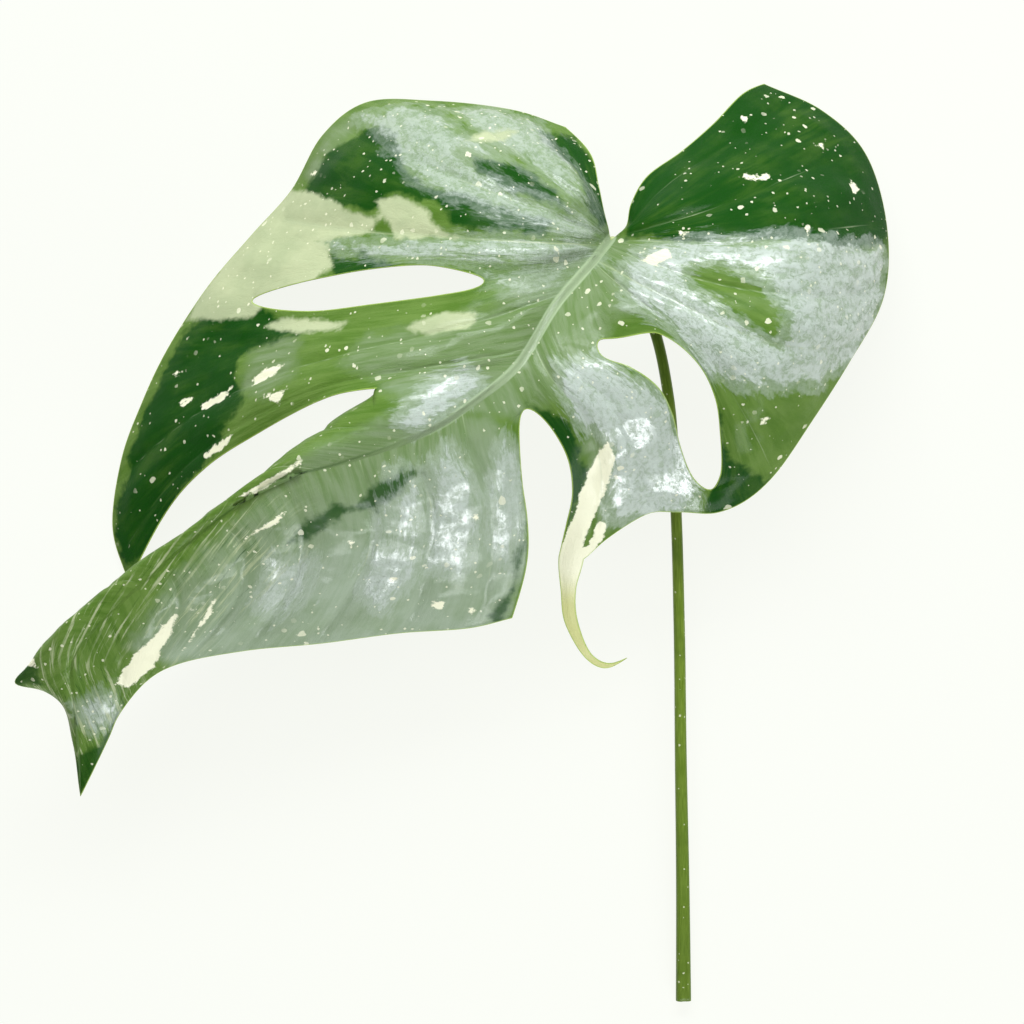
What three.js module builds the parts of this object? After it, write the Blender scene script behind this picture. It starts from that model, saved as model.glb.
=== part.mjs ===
// A split-leaf climbing plant's leaf, cut at the base of its stalk and laid down face up.
// Millimetres, +Z up. The leaf lies on z = 0 on its outer margins and on the cut end of the stalk.
//
// The blade is a bent sheet. Ribs run over it from the midrib out to the margin, on a near side
// and on a far side. Each rib is a row of stations [w, x, y, z], where w is 0 at the midrib and 1
// at the margin. A station [w, x, y, z, x, y, z] has two points, one for each edge of a slit or a
// hole that opens along that rib. The sheet is lofted from rib to rib and then given a thickness.
import * as THREE from 'three';

// ---- driving dimensions (mm) -------------------------------------------------------------------

const bladeThickness = 0.8;       // leaf blade between the veins
const midribDepth = 1.9;          // how far the midrib stands out below the blade at the stalk end
const midribHalfWidth = 2.0;      // half the width of the midrib at the stalk end
const midribTipHalfWidth = 0.35;  // and at the drip tip
const stepsBetweenRibs = 2;       // rows of facets from one rib to the next
const meltDistance = 0.05;        // corners of the sheet closer than this are one corner
const midribStep = 3;             // least distance from one facet of the midrib to the next
const openEdgeDistance = 10;      // a slit this wide no longer shares its slope across the gap

const stalkSides = 16;            // facets round the leaf stalk
const stalkSteps = 46;            // rings along the leaf stalk
const grooveStart = 0.62;         // where the groove of the leaf sheath begins, part of the length

// Stations across each side of the blade, so that slits and holes start and end on one of them.
const nearStations = [0, .03, .08, .15, .165, .2, .27, .36, .45, .54, .63, .72, .8, .86, .905, .93, .965, 1];
const farStations = [0, .03, .09, .17, .25, .265, .3, .36, .43, .51, .59, .67, .74, .79, .825, .84, .92, 1];
const tailStations = [1, 1.15, 1.3, 1.45, 1.6, 1.75, 1.9];
const tailRib = 12;               // near rib on which the curled tail of the second lobe begins
const tailBlend = 0.3;            // stations over which the tail takes up the lobe's arch

// Centre line of the leaf stalk and its radius: [x, y, z, radius]. The first ring is the top.
const stalkStations = [
  [41.5, 107.6, 47.6, 2.3], [43.0, 105.3, 43.6, 3.0], [45.6, 101.6, 39.6, 3.1], [50.5, 92, 34.5, 2.6],
  [58, 76, 30, 2.3], [64.5, 48, 24.5, 2.25], [67.5, 10, 19.5, 2.3], [69.5, -45, 15, 2.35],
  [70.5, -105, 10.5, 2.5], [71.5, -155, 6.8, 2.8], [72, -205, 3.6, 3.2],
];

// Centre line of the midrib from the stalk to the drip tip: [x, y, z].
const midribPoints = [
  [40, 110, 52], [34, 102, 61], [19, 84, 76], [0, 55, 88], [-16, 42, 94], [-27, 34, 96],
  [-43, 27, 98], [-66, 19, 99], [-96, 10, 98], [-114, -3, 94], [-141, -25, 86], [-164, -46, 76],
  [-175, -60, 67], [-176, -75, 58], [-175, -94, 48], [-176, -116, 38],
];

// Ribs of the near side, from the notch at the stalk round to the tip. start is how far along the
// midrib the rib leaves it. opens and closes say where on the rib a slit or a hole begins and ends.
const nearRibs = [
  { start: 0, rows: [
    [.1, 46, 115, 52], [.22, 48, 124, 50], [.35, 54, 135, 46], [.52, 69, 147, 36], [.7, 83, 160, 24],
    [.88, 97, 175, 10], [1, 106, 180, 1] ] },
  { start: 0, rows: [
    [.2, 55, 119, 58], [.45, 76, 133, 52], [.75, 104, 151, 32], [1, 130, 168, 6] ] },
  { start: 0, rows: [
    [.2, 59, 113, 64], [.45, 85, 119, 66], [.75, 116, 133, 48], [1, 148, 148, 12] ] },
  { start: 1, rows: [
    [.2, 61, 108, 68], [.45, 88, 106, 75], [.75, 123, 111, 62], [1, 155, 117, 22] ] },
  { start: 2, rows: [
    [.2, 59, 102, 72], [.45, 86, 94, 80], [.75, 118, 89, 74], [1, 152, 88, 34] ] },
  { start: 5, rows: [
    [.2, 54, 96, 76], [.45, 79, 83, 84], [.75, 109, 68, 82], [1, 136, 60, 48] ] },
  { start: 10, rows: [
    [.2, 50, 92, 79], [.45, 71, 77, 86], [.75, 97, 55, 82], [1, 121, 37, 52] ] },
  { start: 17, rows: [
    [.2, 46, 86, 81], [.45, 64, 72, 86], [.6, 76, 61, 84], [.8, 92, 38, 74], [1, 106, 15, 48] ] },
  { start: 26, opens: .15, closes: .93, rows: [
    [.15, 34, 67, 84], [.3, 57, 70, 87, 47, 56, 86], [.45, 72, 59, 85, 57, 49, 84],
    [.6, 80, 45, 78, 63, 39, 77], [.75, 83, 29, 67, 67, 26, 66], [.86, 84, 16, 56, 72, 15, 56],
    [.93, 80, 9, 50], [1, 84, 0, 44] ] },
  { start: 45, rows: [
    [.2, 23, 61, 88], [.4, 39, 50, 88], [.6, 53, 35, 79], [.8, 60, 18, 62], [1, 67, 0, 46] ] },
  { start: 56, rows: [
    [.2, 20, 56, 90], [.4, 34, 44, 88], [.6, 44, 28, 78], [.8, 50, 12, 62], [1, 54, -1, 49] ] },
  { start: 62, rows: [
    [.2, 17, 52, 90], [.4, 29, 41, 88], [.6, 37, 24, 76], [.8, 40, 7, 61], [1, 38, -11, 49] ] },
  { start: 67, rows: [
    [.2, 14, 49, 90], [.4, 24, 38, 86], [.6, 31, 22, 75], [.8, 32, 3, 61], [1, 29, -19, 46],
    [1.2, 26, -32, 37], [1.4, 27, -45, 28], [1.6, 33, -59, 19], [1.75, 40, -63, 13], [1.9, 48, -61, 9] ] },
  { start: 80, opens: .15, rows: [
    [.15, 5, 40, 88], [.3, 16, 32, 83, 3, 25, 84], [.45, 22, 21, 76, 4, 12, 76],
    [.6, 24, 9, 67, 6, -2, 68], [.8, 22, -4, 57, 6, -20, 56], [1, 19, -18, 45, 0, -43, 42],
    [1.2, 20, -32, 36], [1.4, 22, -46, 27], [1.6, 31, -61, 18], [1.75, 39, -65, 12], [1.9, 48, -61, 9] ] },
  { start: 104, rows: [
    [.2, -16, 23, 91], [.4, -10, 8, 82], [.6, -9, -10, 69], [.8, -11, -29, 55], [1, -17, -47, 43] ] },
  { start: 122, rows: [
    [.2, -34, 16, 93], [.4, -30, 1, 83], [.6, -32, -17, 70], [.8, -37, -35, 56], [1, -45, -49, 44] ] },
  { start: 148, rows: [
    [.2, -56, 9, 94], [.4, -53, -7, 84], [.6, -58, -23, 71], [.8, -66, -38, 58], [1, -76, -53, 46] ] },
  { start: 182, rows: [
    [.2, -86, -1, 93], [.4, -84, -14, 84], [.6, -89, -29, 72], [.8, -98, -43, 59], [1, -108, -56, 49] ] },
  { start: 215, rows: [
    [.2, -110, -16, 87], [.4, -109, -27, 79], [.6, -113, -38, 69], [.8, -123, -50, 60],
    [1, -134, -61, 52] ] },
  { start: 240, rows: [
    [.25, -133, -33, 81], [.5, -134, -44, 72], [.75, -140, -56, 62], [1, -147, -68, 54] ] },
  { start: 268, rows: [
    [.25, -155, -49, 73], [.5, -152, -58, 66], [.75, -153, -68, 58], [1, -158, -81, 51] ] },
  { start: 292, rows: [
    [.33, -169, -69, 60], [.66, -165, -79, 54], [1, -163, -91, 47] ] },
  { start: 318, rows: [
    [.33, -172, -94, 48], [.66, -170, -99, 46], [1, -169, -103, 44] ] },
];

// Ribs of the far side, in the same order.
const farRibs = [
  { start: 0, rows: [
    [.25, 37, 121, 52], [.5, 35, 132, 47], [.75, 32, 146, 37], [1, 22, 159, 22] ] },
  { start: 0, rows: [
    [.25, 31, 127, 57], [.5, 20, 141, 51], [.75, 9, 154, 36], [1, 0, 167, 16] ] },
  { start: 0, rows: [
    [.25, 25, 125, 62], [.5, 5, 140, 57], [.75, -15, 158, 35], [1, -33, 172, 7] ] },
  { start: 0, rows: [
    [.25, 19, 121, 66], [.5, -9, 136, 60], [.75, -38, 156, 35], [1, -62, 172, 1] ] },
  { start: 1, rows: [
    [.25, 15, 115, 70], [.5, -18, 126, 64], [.75, -52, 141, 40], [1, -80, 158, 1] ] },
  { start: 3, rows: [
    [.25, 11, 110, 73], [.5, -25, 115, 67], [.75, -63, 124, 41], [1, -93, 135, 1] ] },
  { start: 7, rows: [
    [.25, 8, 104, 76], [.5, -31, 106, 68], [.75, -71, 109, 42], [1, -109, 117, 1] ] },
  { start: 20, opens: .25, closes: .84, rows: [
    [.25, -11, 91, 78], [.4, -34, 98, 71, -32, 85, 72], [.55, -57, 97, 61, -55, 83, 62],
    [.7, -83, 94, 45, -81, 81, 46], [.84, -107, 87, 26], [1, -132, 89, 1] ] },
  { start: 34, rows: [
    [.25, -13, 80, 82], [.5, -50, 75, 70], [.75, -92, 73, 42], [1, -144, 70, 1] ] },
  { start: 48, rows: [
    [.25, -20, 71, 86], [.5, -62, 65, 73], [.75, -107, 59, 40], [1, -156, 45, 1] ] },
  { start: 58, rows: [
    [.25, -24, 64, 88], [.5, -70, 57, 75], [.75, -117, 45, 38], [1, -164, 23, 1] ] },
  { start: 68, rows: [
    [.25, -28, 57, 90], [.5, -76, 50, 76], [.75, -124, 31, 36], [1, -168, -3, 1] ] },
  { start: 80, opens: .25, rows: [
    [.25, -53, 48, 92], [.45, -78, 43, 77, -56, 43, 80], [.6, -101, 32, 58, -58, 40, 63],
    [.75, -125, 18, 38, -58, 37, 45], [.88, -143, 0, 21, -58, 34, 30], [1, -161, -30, 3, -56, 30, 16] ] },
  { start: 104, rows: [
    [.2, -48, 39, 99], [.35, -63, 38, 92], [.6, -65, 37, 66], [.8, -64, 33, 40], [1, -61, 27, 18] ] },
  { start: 130, rows: [
    [.2, -65, 29, 100], [.35, -77, 28, 93], [.6, -80, 25, 66], [.8, -78, 20, 42], [1, -75, 13, 20] ] },
  { start: 165, rows: [
    [.2, -92, 17, 99], [.35, -100, 12, 91], [.6, -102, 8, 64], [.8, -101, 2, 42], [1, -98, -3, 22] ] },
  { start: 206, rows: [
    [.2, -120, -3, 94], [.35, -125, -6, 87], [.6, -128, -11, 62], [.8, -127, -17, 42],
    [1, -124, -22, 26] ] },
  { start: 240, rows: [
    [.2, -145, -21, 86], [.35, -150, -23, 80], [.6, -153, -28, 60], [.8, -152, -32, 45],
    [1, -150, -38, 33] ] },
  { start: 262, rows: [
    [.2, -162, -35, 80], [.35, -167, -36, 76], [.6, -172, -40, 63], [.8, -173, -44, 52],
    [1, -173, -50, 42] ] },
  { start: 282, rows: [
    [.25, -177, -49, 74], [.5, -184, -54, 69], [.75, -190, -58, 62], [1, -194, -62, 55] ] },
  { start: 294, rows: [
    [.3, -180, -61, 67], [.6, -189, -64, 61], [1, -200, -69, 52] ] },
  { start: 304, rows: [
    [.3, -180, -70, 61], [.6, -183, -72, 58], [1, -189, -72, 51] ] },
  { start: 314, rows: [
    [.3, -177, -79, 56], [.6, -179, -79, 54], [1, -182, -77, 50] ] },
  { start: 330, rows: [
    [.3, -176, -94, 48], [.6, -177, -94, 47], [1, -178, -93, 45] ] },
];

// ---- curves ------------------------------------------------------------------------------------

const add = (a, b, k = 1) => a.map((value, i) => value + k * b[i]);
const scale = (a, k) => a.map((value) => value * k);
const mix = (a, b, t) => a.map((value, i) => value + t * (b[i] - value));
const clamp = (value, low, high) => Math.min(high, Math.max(low, value));
const distance = (a, b) => Math.hypot(...add(a, b, -1));

function hermite(a, slopeA, b, slopeB, span, t) {
  const weights = [
    2 * t ** 3 - 3 * t ** 2 + 1, span * (t ** 3 - 2 * t ** 2 + t),
    3 * t ** 2 - 2 * t ** 3, span * (t ** 3 - t ** 2),
  ];
  return a.map((value, i) => weights[0] * value + weights[1] * slopeA[i]
    + weights[2] * b[i] + weights[3] * slopeB[i]);
}

// A smooth curve through points given at rising knots.
function curveThrough(knots, points) {
  const last = knots.length - 1;
  const chords = [];
  for (let i = 0; i < last; i++) {
    chords.push(scale(add(points[i + 1], points[i], -1), 1 / (knots[i + 1] - knots[i])));
  }
  const slopes = points.map((point, i) => {
    if (i === 0) return chords[0];
    if (i === last) return chords[last - 1];
    const before = knots[i] - knots[i - 1];
    const after = knots[i + 1] - knots[i];
    return scale(add(scale(chords[i - 1], after), chords[i], before), 1 / (before + after));
  });
  if (last > 1) {
    slopes[0] = add(scale(chords[0], 1.5), slopes[1], -0.5);
    slopes[last] = add(scale(chords[last - 1], 1.5), slopes[last - 1], -0.5);
  }
  return (at) => {
    const x = clamp(at, knots[0], knots[last]);
    let i = 0;
    while (i < last - 1 && x >= knots[i + 1]) i++;
    const span = knots[i + 1] - knots[i];
    return hermite(points[i], slopes[i], points[i + 1], slopes[i + 1], span, (x - knots[i]) / span);
  };
}

const midribKnots = [0];
for (let i = 1; i < midribPoints.length; i++) {
  midribKnots.push(midribKnots[i - 1] + distance(midribPoints[i], midribPoints[i - 1]));
}
const midribLength = midribKnots[midribKnots.length - 1];
const midrib = curveThrough(midribKnots, midribPoints);

// How thick the midrib is at s along it, from 1 at the leaf stalk to 0 at the drip tip.
const midribFullness = (s) => 1 - s / midribLength;
const midribHalfWidthAt = (s) => midribTipHalfWidth
  + (midribHalfWidth - midribTipHalfWidth) * midribFullness(s);

// ---- ribs --------------------------------------------------------------------------------------

// How wide a slit or hole is along its rib: round where it opens and, for a hole, where it closes.
function openingShape(w, opens, closes) {
  if (closes === undefined) return Math.sqrt(clamp((w - opens) / (1 - opens), 0, 1));
  const s = clamp((w - opens) / (closes - opens), 0, 1);
  return Math.sqrt(4 * s * (1 - s));
}

// Makes rib(w, side): the point at w, on the edge towards the rib before (-1) or after (1).
function makeRib({ start, opens, closes, rows }) {
  const isPair = (row) => row.length > 4;
  const isTail = (row) => opens !== undefined && row[0] > 1;
  const middle = (row) => (isPair(row) ? mix(row.slice(1, 4), row.slice(4, 7), 0.5) : row.slice(1, 4));
  const body = rows.filter((row) => !isTail(row));
  const towards = add(middle(body[0]), midrib(start), -1);
  const root = add(midrib(start), towards, midribHalfWidthAt(start) / Math.hypot(...towards));
  const centre = curveThrough([0, ...body.map((row) => row[0])], [root, ...body.map(middle)]);
  if (opens === undefined) return (w) => centre(w);

  const pairs = rows.filter(isPair);
  const halfGaps = pairs.map((row) => scale(add(row.slice(1, 4), row.slice(4, 7), -1),
    0.5 / openingShape(row[0], opens, closes)));
  const halfGap = curveThrough(pairs.map((row) => row[0]), halfGaps);
  const edgeRows = [...pairs.slice(-2), ...rows.filter(isTail)];
  const tailEdge = curveThrough(edgeRows.map((row) => row[0]), edgeRows.map((row) => row.slice(1, 4)));
  return (w, side) => {
    if (w > 1) return tailEdge(w);
    return add(centre(w), halfGap(w), -side * openingShape(w, opens, closes));
  };
}

// ---- the sheet ---------------------------------------------------------------------------------

// Slopes across rib number i, for the panel before it and the panel after it.
function ribSlopes(before, after, spans, i, j) {
  const back = i > 0 ? scale(add(before[i][j], after[i - 1][j], -1), 1 / spans[i - 1]) : null;
  const ahead = i < spans.length ? scale(add(before[i + 1][j], after[i][j], -1), 1 / spans[i]) : null;
  if (!back) return [ahead, ahead];
  if (!ahead) return [back, back];
  const total = spans[i - 1] + spans[i];
  const shared = scale(add(scale(back, spans[i]), ahead, spans[i - 1]), 1 / total);
  const t = clamp(distance(before[i][j], after[i][j]) / openEdgeDistance, 0, 1);
  const apart = t * t * (3 - 2 * t);
  return [mix(shared, back, apart), mix(shared, ahead, apart)];
}

// Lofts one side of the blade. Returns panels: panel[row][station] = point.
function loftSide(ribs, stations) {
  const tip = midrib(midribLength);
  const tipRow = stations.map(() => tip);
  const before = [...ribs.map((rib) => stations.map((w) => rib(w, -1))), tipRow];
  const after = [...ribs.map((rib) => stations.map((w) => rib(w, 1))), tipRow];
  const spans = ribs.map((rib, i) => {
    const gaps = stations.map((w, j) => distance(after[i][j], before[i + 1][j]));
    return Math.max(4, gaps.reduce((sum, gap) => sum + gap) / gaps.length);
  });
  const slopes = before.map((row, i) => row.map((point, j) => ribSlopes(before, after, spans, i, j)));
  return ribs.map((rib, i) => {
    const panel = [];
    for (let step = 0; step <= stepsBetweenRibs; step++) {
      const t = step / stepsBetweenRibs;
      panel.push(stations.map((w, j) => hermite(after[i][j], slopes[i][j][1],
        before[i + 1][j], slopes[i + 1][j][0], spans[i], t)));
    }
    return panel;
  });
}

// The curled tail below the second lobe, which carries on from the last station of a panel.
function loftTail(ribs, panel) {
  return panel.map((row, step) => {
    const flat = (w) => mix(ribs[tailRib](w, -1), ribs[tailRib + 1](w, -1), step / stepsBetweenRibs);
    const lift = add(row[row.length - 1], flat(1), -1);
    return tailStations.map((w) => add(flat(w), lift, Math.max(0, 1 - (w - 1) / tailBlend)));
  });
}

// Collects panels into one triangle sheet whose matching corners are shared.
function makeSheet() {
  const corners = [];
  const depths = [];
  const triangles = [];
  const byCell = new Map();

  function cornerIndex(point, depth = 0) {
    const key = point.map((value) => Math.round(value / meltDistance)).join(' ');
    if (!byCell.has(key)) {
      byCell.set(key, corners.length);
      corners.push(point);
      depths.push(depth);
    }
    return byCell.get(key);
  }

  function addTriangle(a, b, c) {
    if (a !== b && b !== c && c !== a) triangles.push([a, b, c]);
  }

  function addPanel(panel, flipped) {
    const index = panel.map((row) => row.map((point) => cornerIndex(point)));
    for (let i = 0; i + 1 < index.length; i++) {
      for (let j = 0; j + 1 < index[i].length; j++) {
        const quad = [index[i][j], index[i][j + 1], index[i + 1][j + 1], index[i + 1][j]];
        const shortFirst = distance(panel[i][j], panel[i + 1][j + 1])
          < distance(panel[i][j + 1], panel[i + 1][j]);
        const [a, b, c, d] = shortFirst ? quad : [quad[1], quad[2], quad[3], quad[0]];
        if (flipped) {
          addTriangle(a, c, b);
          addTriangle(a, d, c);
        } else {
          addTriangle(a, b, c);
          addTriangle(a, c, d);
        }
      }
    }
  }

  // Closes the gap between the roots of both sides with the midrib, which hangs below the blade.
  function addMidrib(nearRoots, farRoots) {
    const crest = [];
    for (const root of [...nearRoots, ...farRoots].sort((a, b) => a.s - b.s)) {
      const previous = crest[crest.length - 1];
      if (!previous || root.s - previous.s > midribStep) crest.push({ s: root.s });
    }
    for (const ridge of crest) ridge.index = cornerIndex(midrib(ridge.s), midribDepth * midribFullness(ridge.s));
    zip(nearRoots, crest, true);
    zip(farRoots, crest, false);
  }

  // Joins the points of two lines of rising s with a strip of triangles.
  function zip(roots, crest, flipped) {
    const side = roots.map((root) => ({ s: root.s, index: cornerIndex(root.point) }));
    let i = 0;
    let j = 0;
    while (i + 1 < side.length || j + 1 < crest.length) {
      const stepSide = j + 1 >= crest.length || (i + 1 < side.length && side[i + 1].s <= crest[j + 1].s);
      const next = stepSide ? side[i + 1].index : crest[j + 1].index;
      if (flipped) addTriangle(side[i].index, crest[j].index, next);
      else addTriangle(crest[j].index, side[i].index, next);
      if (stepSide) i++;
      else j++;
    }
  }
  return { corners, depths, triangles, addPanel, addMidrib };
}

function sheetNormals({ corners, triangles }) {
  const normals = corners.map(() => new THREE.Vector3());
  const [p, q, r] = [new THREE.Vector3(), new THREE.Vector3(), new THREE.Vector3()];
  for (const [a, b, c] of triangles) {
    p.fromArray(corners[a]);
    q.fromArray(corners[b]).sub(p);
    r.fromArray(corners[c]).sub(p);
    q.cross(r);
    for (const i of [a, b, c]) normals[i].add(q);
  }
  return normals.map((normal) => normal.normalize().toArray());
}

// Edges with a triangle on one side only, in that triangle's direction.
function openEdges(triangles) {
  const edges = new Map();
  for (const [a, b, c] of triangles) {
    for (const [from, to] of [[a, b], [b, c], [c, a]]) {
      const back = `${to} ${from}`;
      if (edges.has(back)) edges.delete(back);
      else edges.set(`${from} ${to}`, [from, to]);
    }
  }
  return [...edges.values()];
}

// Gives the sheet its thickness: an upper face, a lower face and a rim round every open edge.
function thicken(sheet) {
  const normals = sheetNormals(sheet);
  const count = sheet.corners.length;
  const upper = sheet.corners.map((point, i) => add(point, normals[i], bladeThickness / 2));
  const lower = sheet.corners.map((point, i) => add(point, normals[i], -bladeThickness / 2 - sheet.depths[i]));
  const faces = [];
  for (const [a, b, c] of sheet.triangles) {
    faces.push(a, b, c);
    faces.push(a + count, c + count, b + count);
  }
  for (const [from, to] of openEdges(sheet.triangles)) {
    faces.push(to, from, from + count);
    faces.push(to, from + count, to + count);
  }
  return toGeometry([...upper, ...lower], faces);
}

function toGeometry(points, faces) {
  const geometry = new THREE.BufferGeometry();
  geometry.setAttribute('position', new THREE.Float32BufferAttribute(points.flat(), 3));
  geometry.setIndex(faces);
  geometry.computeVertexNormals();
  return geometry;
}

// The points at which the rows of panels leave the midrib, with how far along it they are.
function rootsOf(panels, ribs) {
  const roots = panels.flatMap((panel, i) => {
    const from = ribs[i].start;
    const to = i + 1 < ribs.length ? ribs[i + 1].start : midribLength;
    return panel.slice(0, -1).map((row, step) => ({
      s: from + (to - from) * step / stepsBetweenRibs,
      point: row[0],
    }));
  });
  return [...roots, { s: midribLength, point: midrib(midribLength) }];
}

function bladeGeometry() {
  const near = nearRibs.map(makeRib);
  const far = farRibs.map(makeRib);
  const nearPanels = loftSide(near, nearStations);
  const farPanels = loftSide(far, farStations);
  const sheet = makeSheet();
  for (const panel of nearPanels) sheet.addPanel(panel, true);
  for (const panel of farPanels) sheet.addPanel(panel, false);
  sheet.addPanel(loftTail(near, nearPanels[tailRib]), true);
  sheet.addMidrib(rootsOf(nearPanels, nearRibs), rootsOf(farPanels, farRibs));
  return thicken(sheet);
}

// ---- the leaf stalk ----------------------------------------------------------------------------

// Section of the stalk: round above, with the shallow groove of the leaf sheath low down.
function stalkRadius(radius, angle, along) {
  const open = clamp((along - grooveStart) / (1 - grooveStart), 0, 1);
  const facing = Math.max(0, Math.cos(angle)) ** 6;
  return radius * (1 - 0.34 * open * facing);
}

function stalkGeometry() {
  const knots = [0];
  for (let i = 1; i < stalkStations.length; i++) {
    knots.push(knots[i - 1] + distance(stalkStations[i].slice(0, 3), stalkStations[i - 1].slice(0, 3)));
  }
  const length = knots[knots.length - 1];
  const path = curveThrough(knots, stalkStations);
  const points = [];
  const faces = [];
  const across = new THREE.Vector3(0, 0, 1);
  for (let ring = 0; ring <= stalkSteps; ring++) {
    const at = length * (ring / stalkSteps) ** 1.25;
    const [x, y, z, radius] = path(at);
    const ahead = new THREE.Vector3(...add(path(at + 0.5), path(at - 0.5), -1).slice(0, 3)).normalize();
    across.addScaledVector(ahead, -across.dot(ahead)).normalize();
    const sideways = new THREE.Vector3().crossVectors(ahead, across);
    for (let k = 0; k < stalkSides; k++) {
      const angle = (k / stalkSides) * 2 * Math.PI;
      const r = stalkRadius(radius, angle, at / length);
      const out = across.clone().multiplyScalar(r * Math.cos(angle));
      out.addScaledVector(sideways, r * Math.sin(angle));
      points.push([x + out.x, y + out.y, z + out.z]);
    }
  }
  for (let ring = 0; ring < stalkSteps; ring++) {
    for (let k = 0; k < stalkSides; k++) {
      const a = ring * stalkSides + k;
      const b = ring * stalkSides + (k + 1) % stalkSides;
      faces.push(a, b, b + stalkSides, a, b + stalkSides, a + stalkSides);
    }
  }
  addCap(points, faces, 0, path(0), true);
  addCap(points, faces, stalkSteps * stalkSides, path(length), false);
  return toGeometry(points, faces);
}

function addCap(points, faces, firstIndex, centre, isTop) {
  const middle = points.length;
  points.push(centre.slice(0, 3));
  for (let k = 0; k < stalkSides; k++) {
    const a = firstIndex + k;
    const b = firstIndex + (k + 1) % stalkSides;
    if (isTop) faces.push(middle, b, a);
    else faces.push(middle, a, b);
  }
}

// ---- assembly ----------------------------------------------------------------------------------

function makeMesh(name, geometry, material) {
  const mesh = new THREE.Mesh(geometry, material);
  mesh.name = name;
  return mesh;
}

const bladeMaterial = new THREE.MeshStandardMaterial({ color: 0x3f7a3a, roughness: 0.35, metalness: 0 });
const stalkMaterial = new THREE.MeshStandardMaterial({ color: 0x6f9440, roughness: 0.45, metalness: 0 });

const group = new THREE.Group();
group.name = 'monstera_leaf';
group.add(makeMesh('leaf_blade', bladeGeometry(), bladeMaterial));
group.add(makeMesh('leaf_stalk', stalkGeometry(), stalkMaterial));

// The origin is under the middle of the leaf, on the surface that it lies on.
const box = new THREE.Box3().setFromObject(group);
const middle = box.getCenter(new THREE.Vector3());
for (const mesh of group.children) mesh.geometry.translate(-middle.x, -middle.y, -box.min.z);

export default group;
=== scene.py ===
"""A cut leaf of a variegated split-leaf climbing plant, laid face up, with its stalk."""

import math

import bpy
import numpy as np
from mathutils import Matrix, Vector


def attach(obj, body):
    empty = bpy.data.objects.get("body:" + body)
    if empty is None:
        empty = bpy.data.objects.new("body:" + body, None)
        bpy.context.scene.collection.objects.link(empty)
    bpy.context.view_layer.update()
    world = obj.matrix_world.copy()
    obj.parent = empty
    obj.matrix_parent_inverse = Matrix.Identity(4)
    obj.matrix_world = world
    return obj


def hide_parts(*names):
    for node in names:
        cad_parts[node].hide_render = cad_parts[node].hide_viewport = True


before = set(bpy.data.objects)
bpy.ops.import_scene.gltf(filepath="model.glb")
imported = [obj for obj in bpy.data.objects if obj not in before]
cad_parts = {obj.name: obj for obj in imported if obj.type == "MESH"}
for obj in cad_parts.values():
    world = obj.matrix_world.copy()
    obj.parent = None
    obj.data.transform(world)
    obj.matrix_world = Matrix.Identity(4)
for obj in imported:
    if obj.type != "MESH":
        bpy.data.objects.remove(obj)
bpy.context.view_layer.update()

bl_info = {
    "name": "Variegated Split Leaf",
    "version": (1, 0, 0),
    "blender": (4, 5, 0),
    "location": "3D View > Sidebar > Leaf",
    "description": "Builds a cut variegated leaf with its stalk, and the studio it lies in",
    "category": "Add Mesh",
}

MM = 0.001
FLOOR_HALF = 4.0  # half the floor's width, in m
FLOOR_ALBEDO = 0.08  # how much of its colour the glowing floor reflects
FRAME_SHIFT = (22.42, 12.43, -0.44)  # from the leaf's drawing to the part's frame, in mm

# Centre line of the midrib from the stalk to the drip tip, in mm, then the ribs of each side from
# the notch at the stalk round to the tip. A rib is (start, opens, closes, rows): start is how far
# along the midrib it leaves, and opens and closes say where a slit or hole runs along it. A row is
# (w, x, y, z), where w is 0 at the midrib and 1 at the margin. A second x, y, z is the other edge
# of the slit or hole.
MIDRIB_POINTS = (
    (40, 110, 52), (34, 102, 61), (19, 84, 76), (0, 55, 88), (-16, 42, 94), (-27, 34, 96),
    (-43, 27, 98), (-66, 19, 99), (-96, 10, 98), (-114, -3, 94), (-141, -25, 86), (-164, -46, 76),
    (-175, -60, 67), (-176, -75, 58), (-175, -94, 48), (-176, -116, 38),
)

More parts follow.
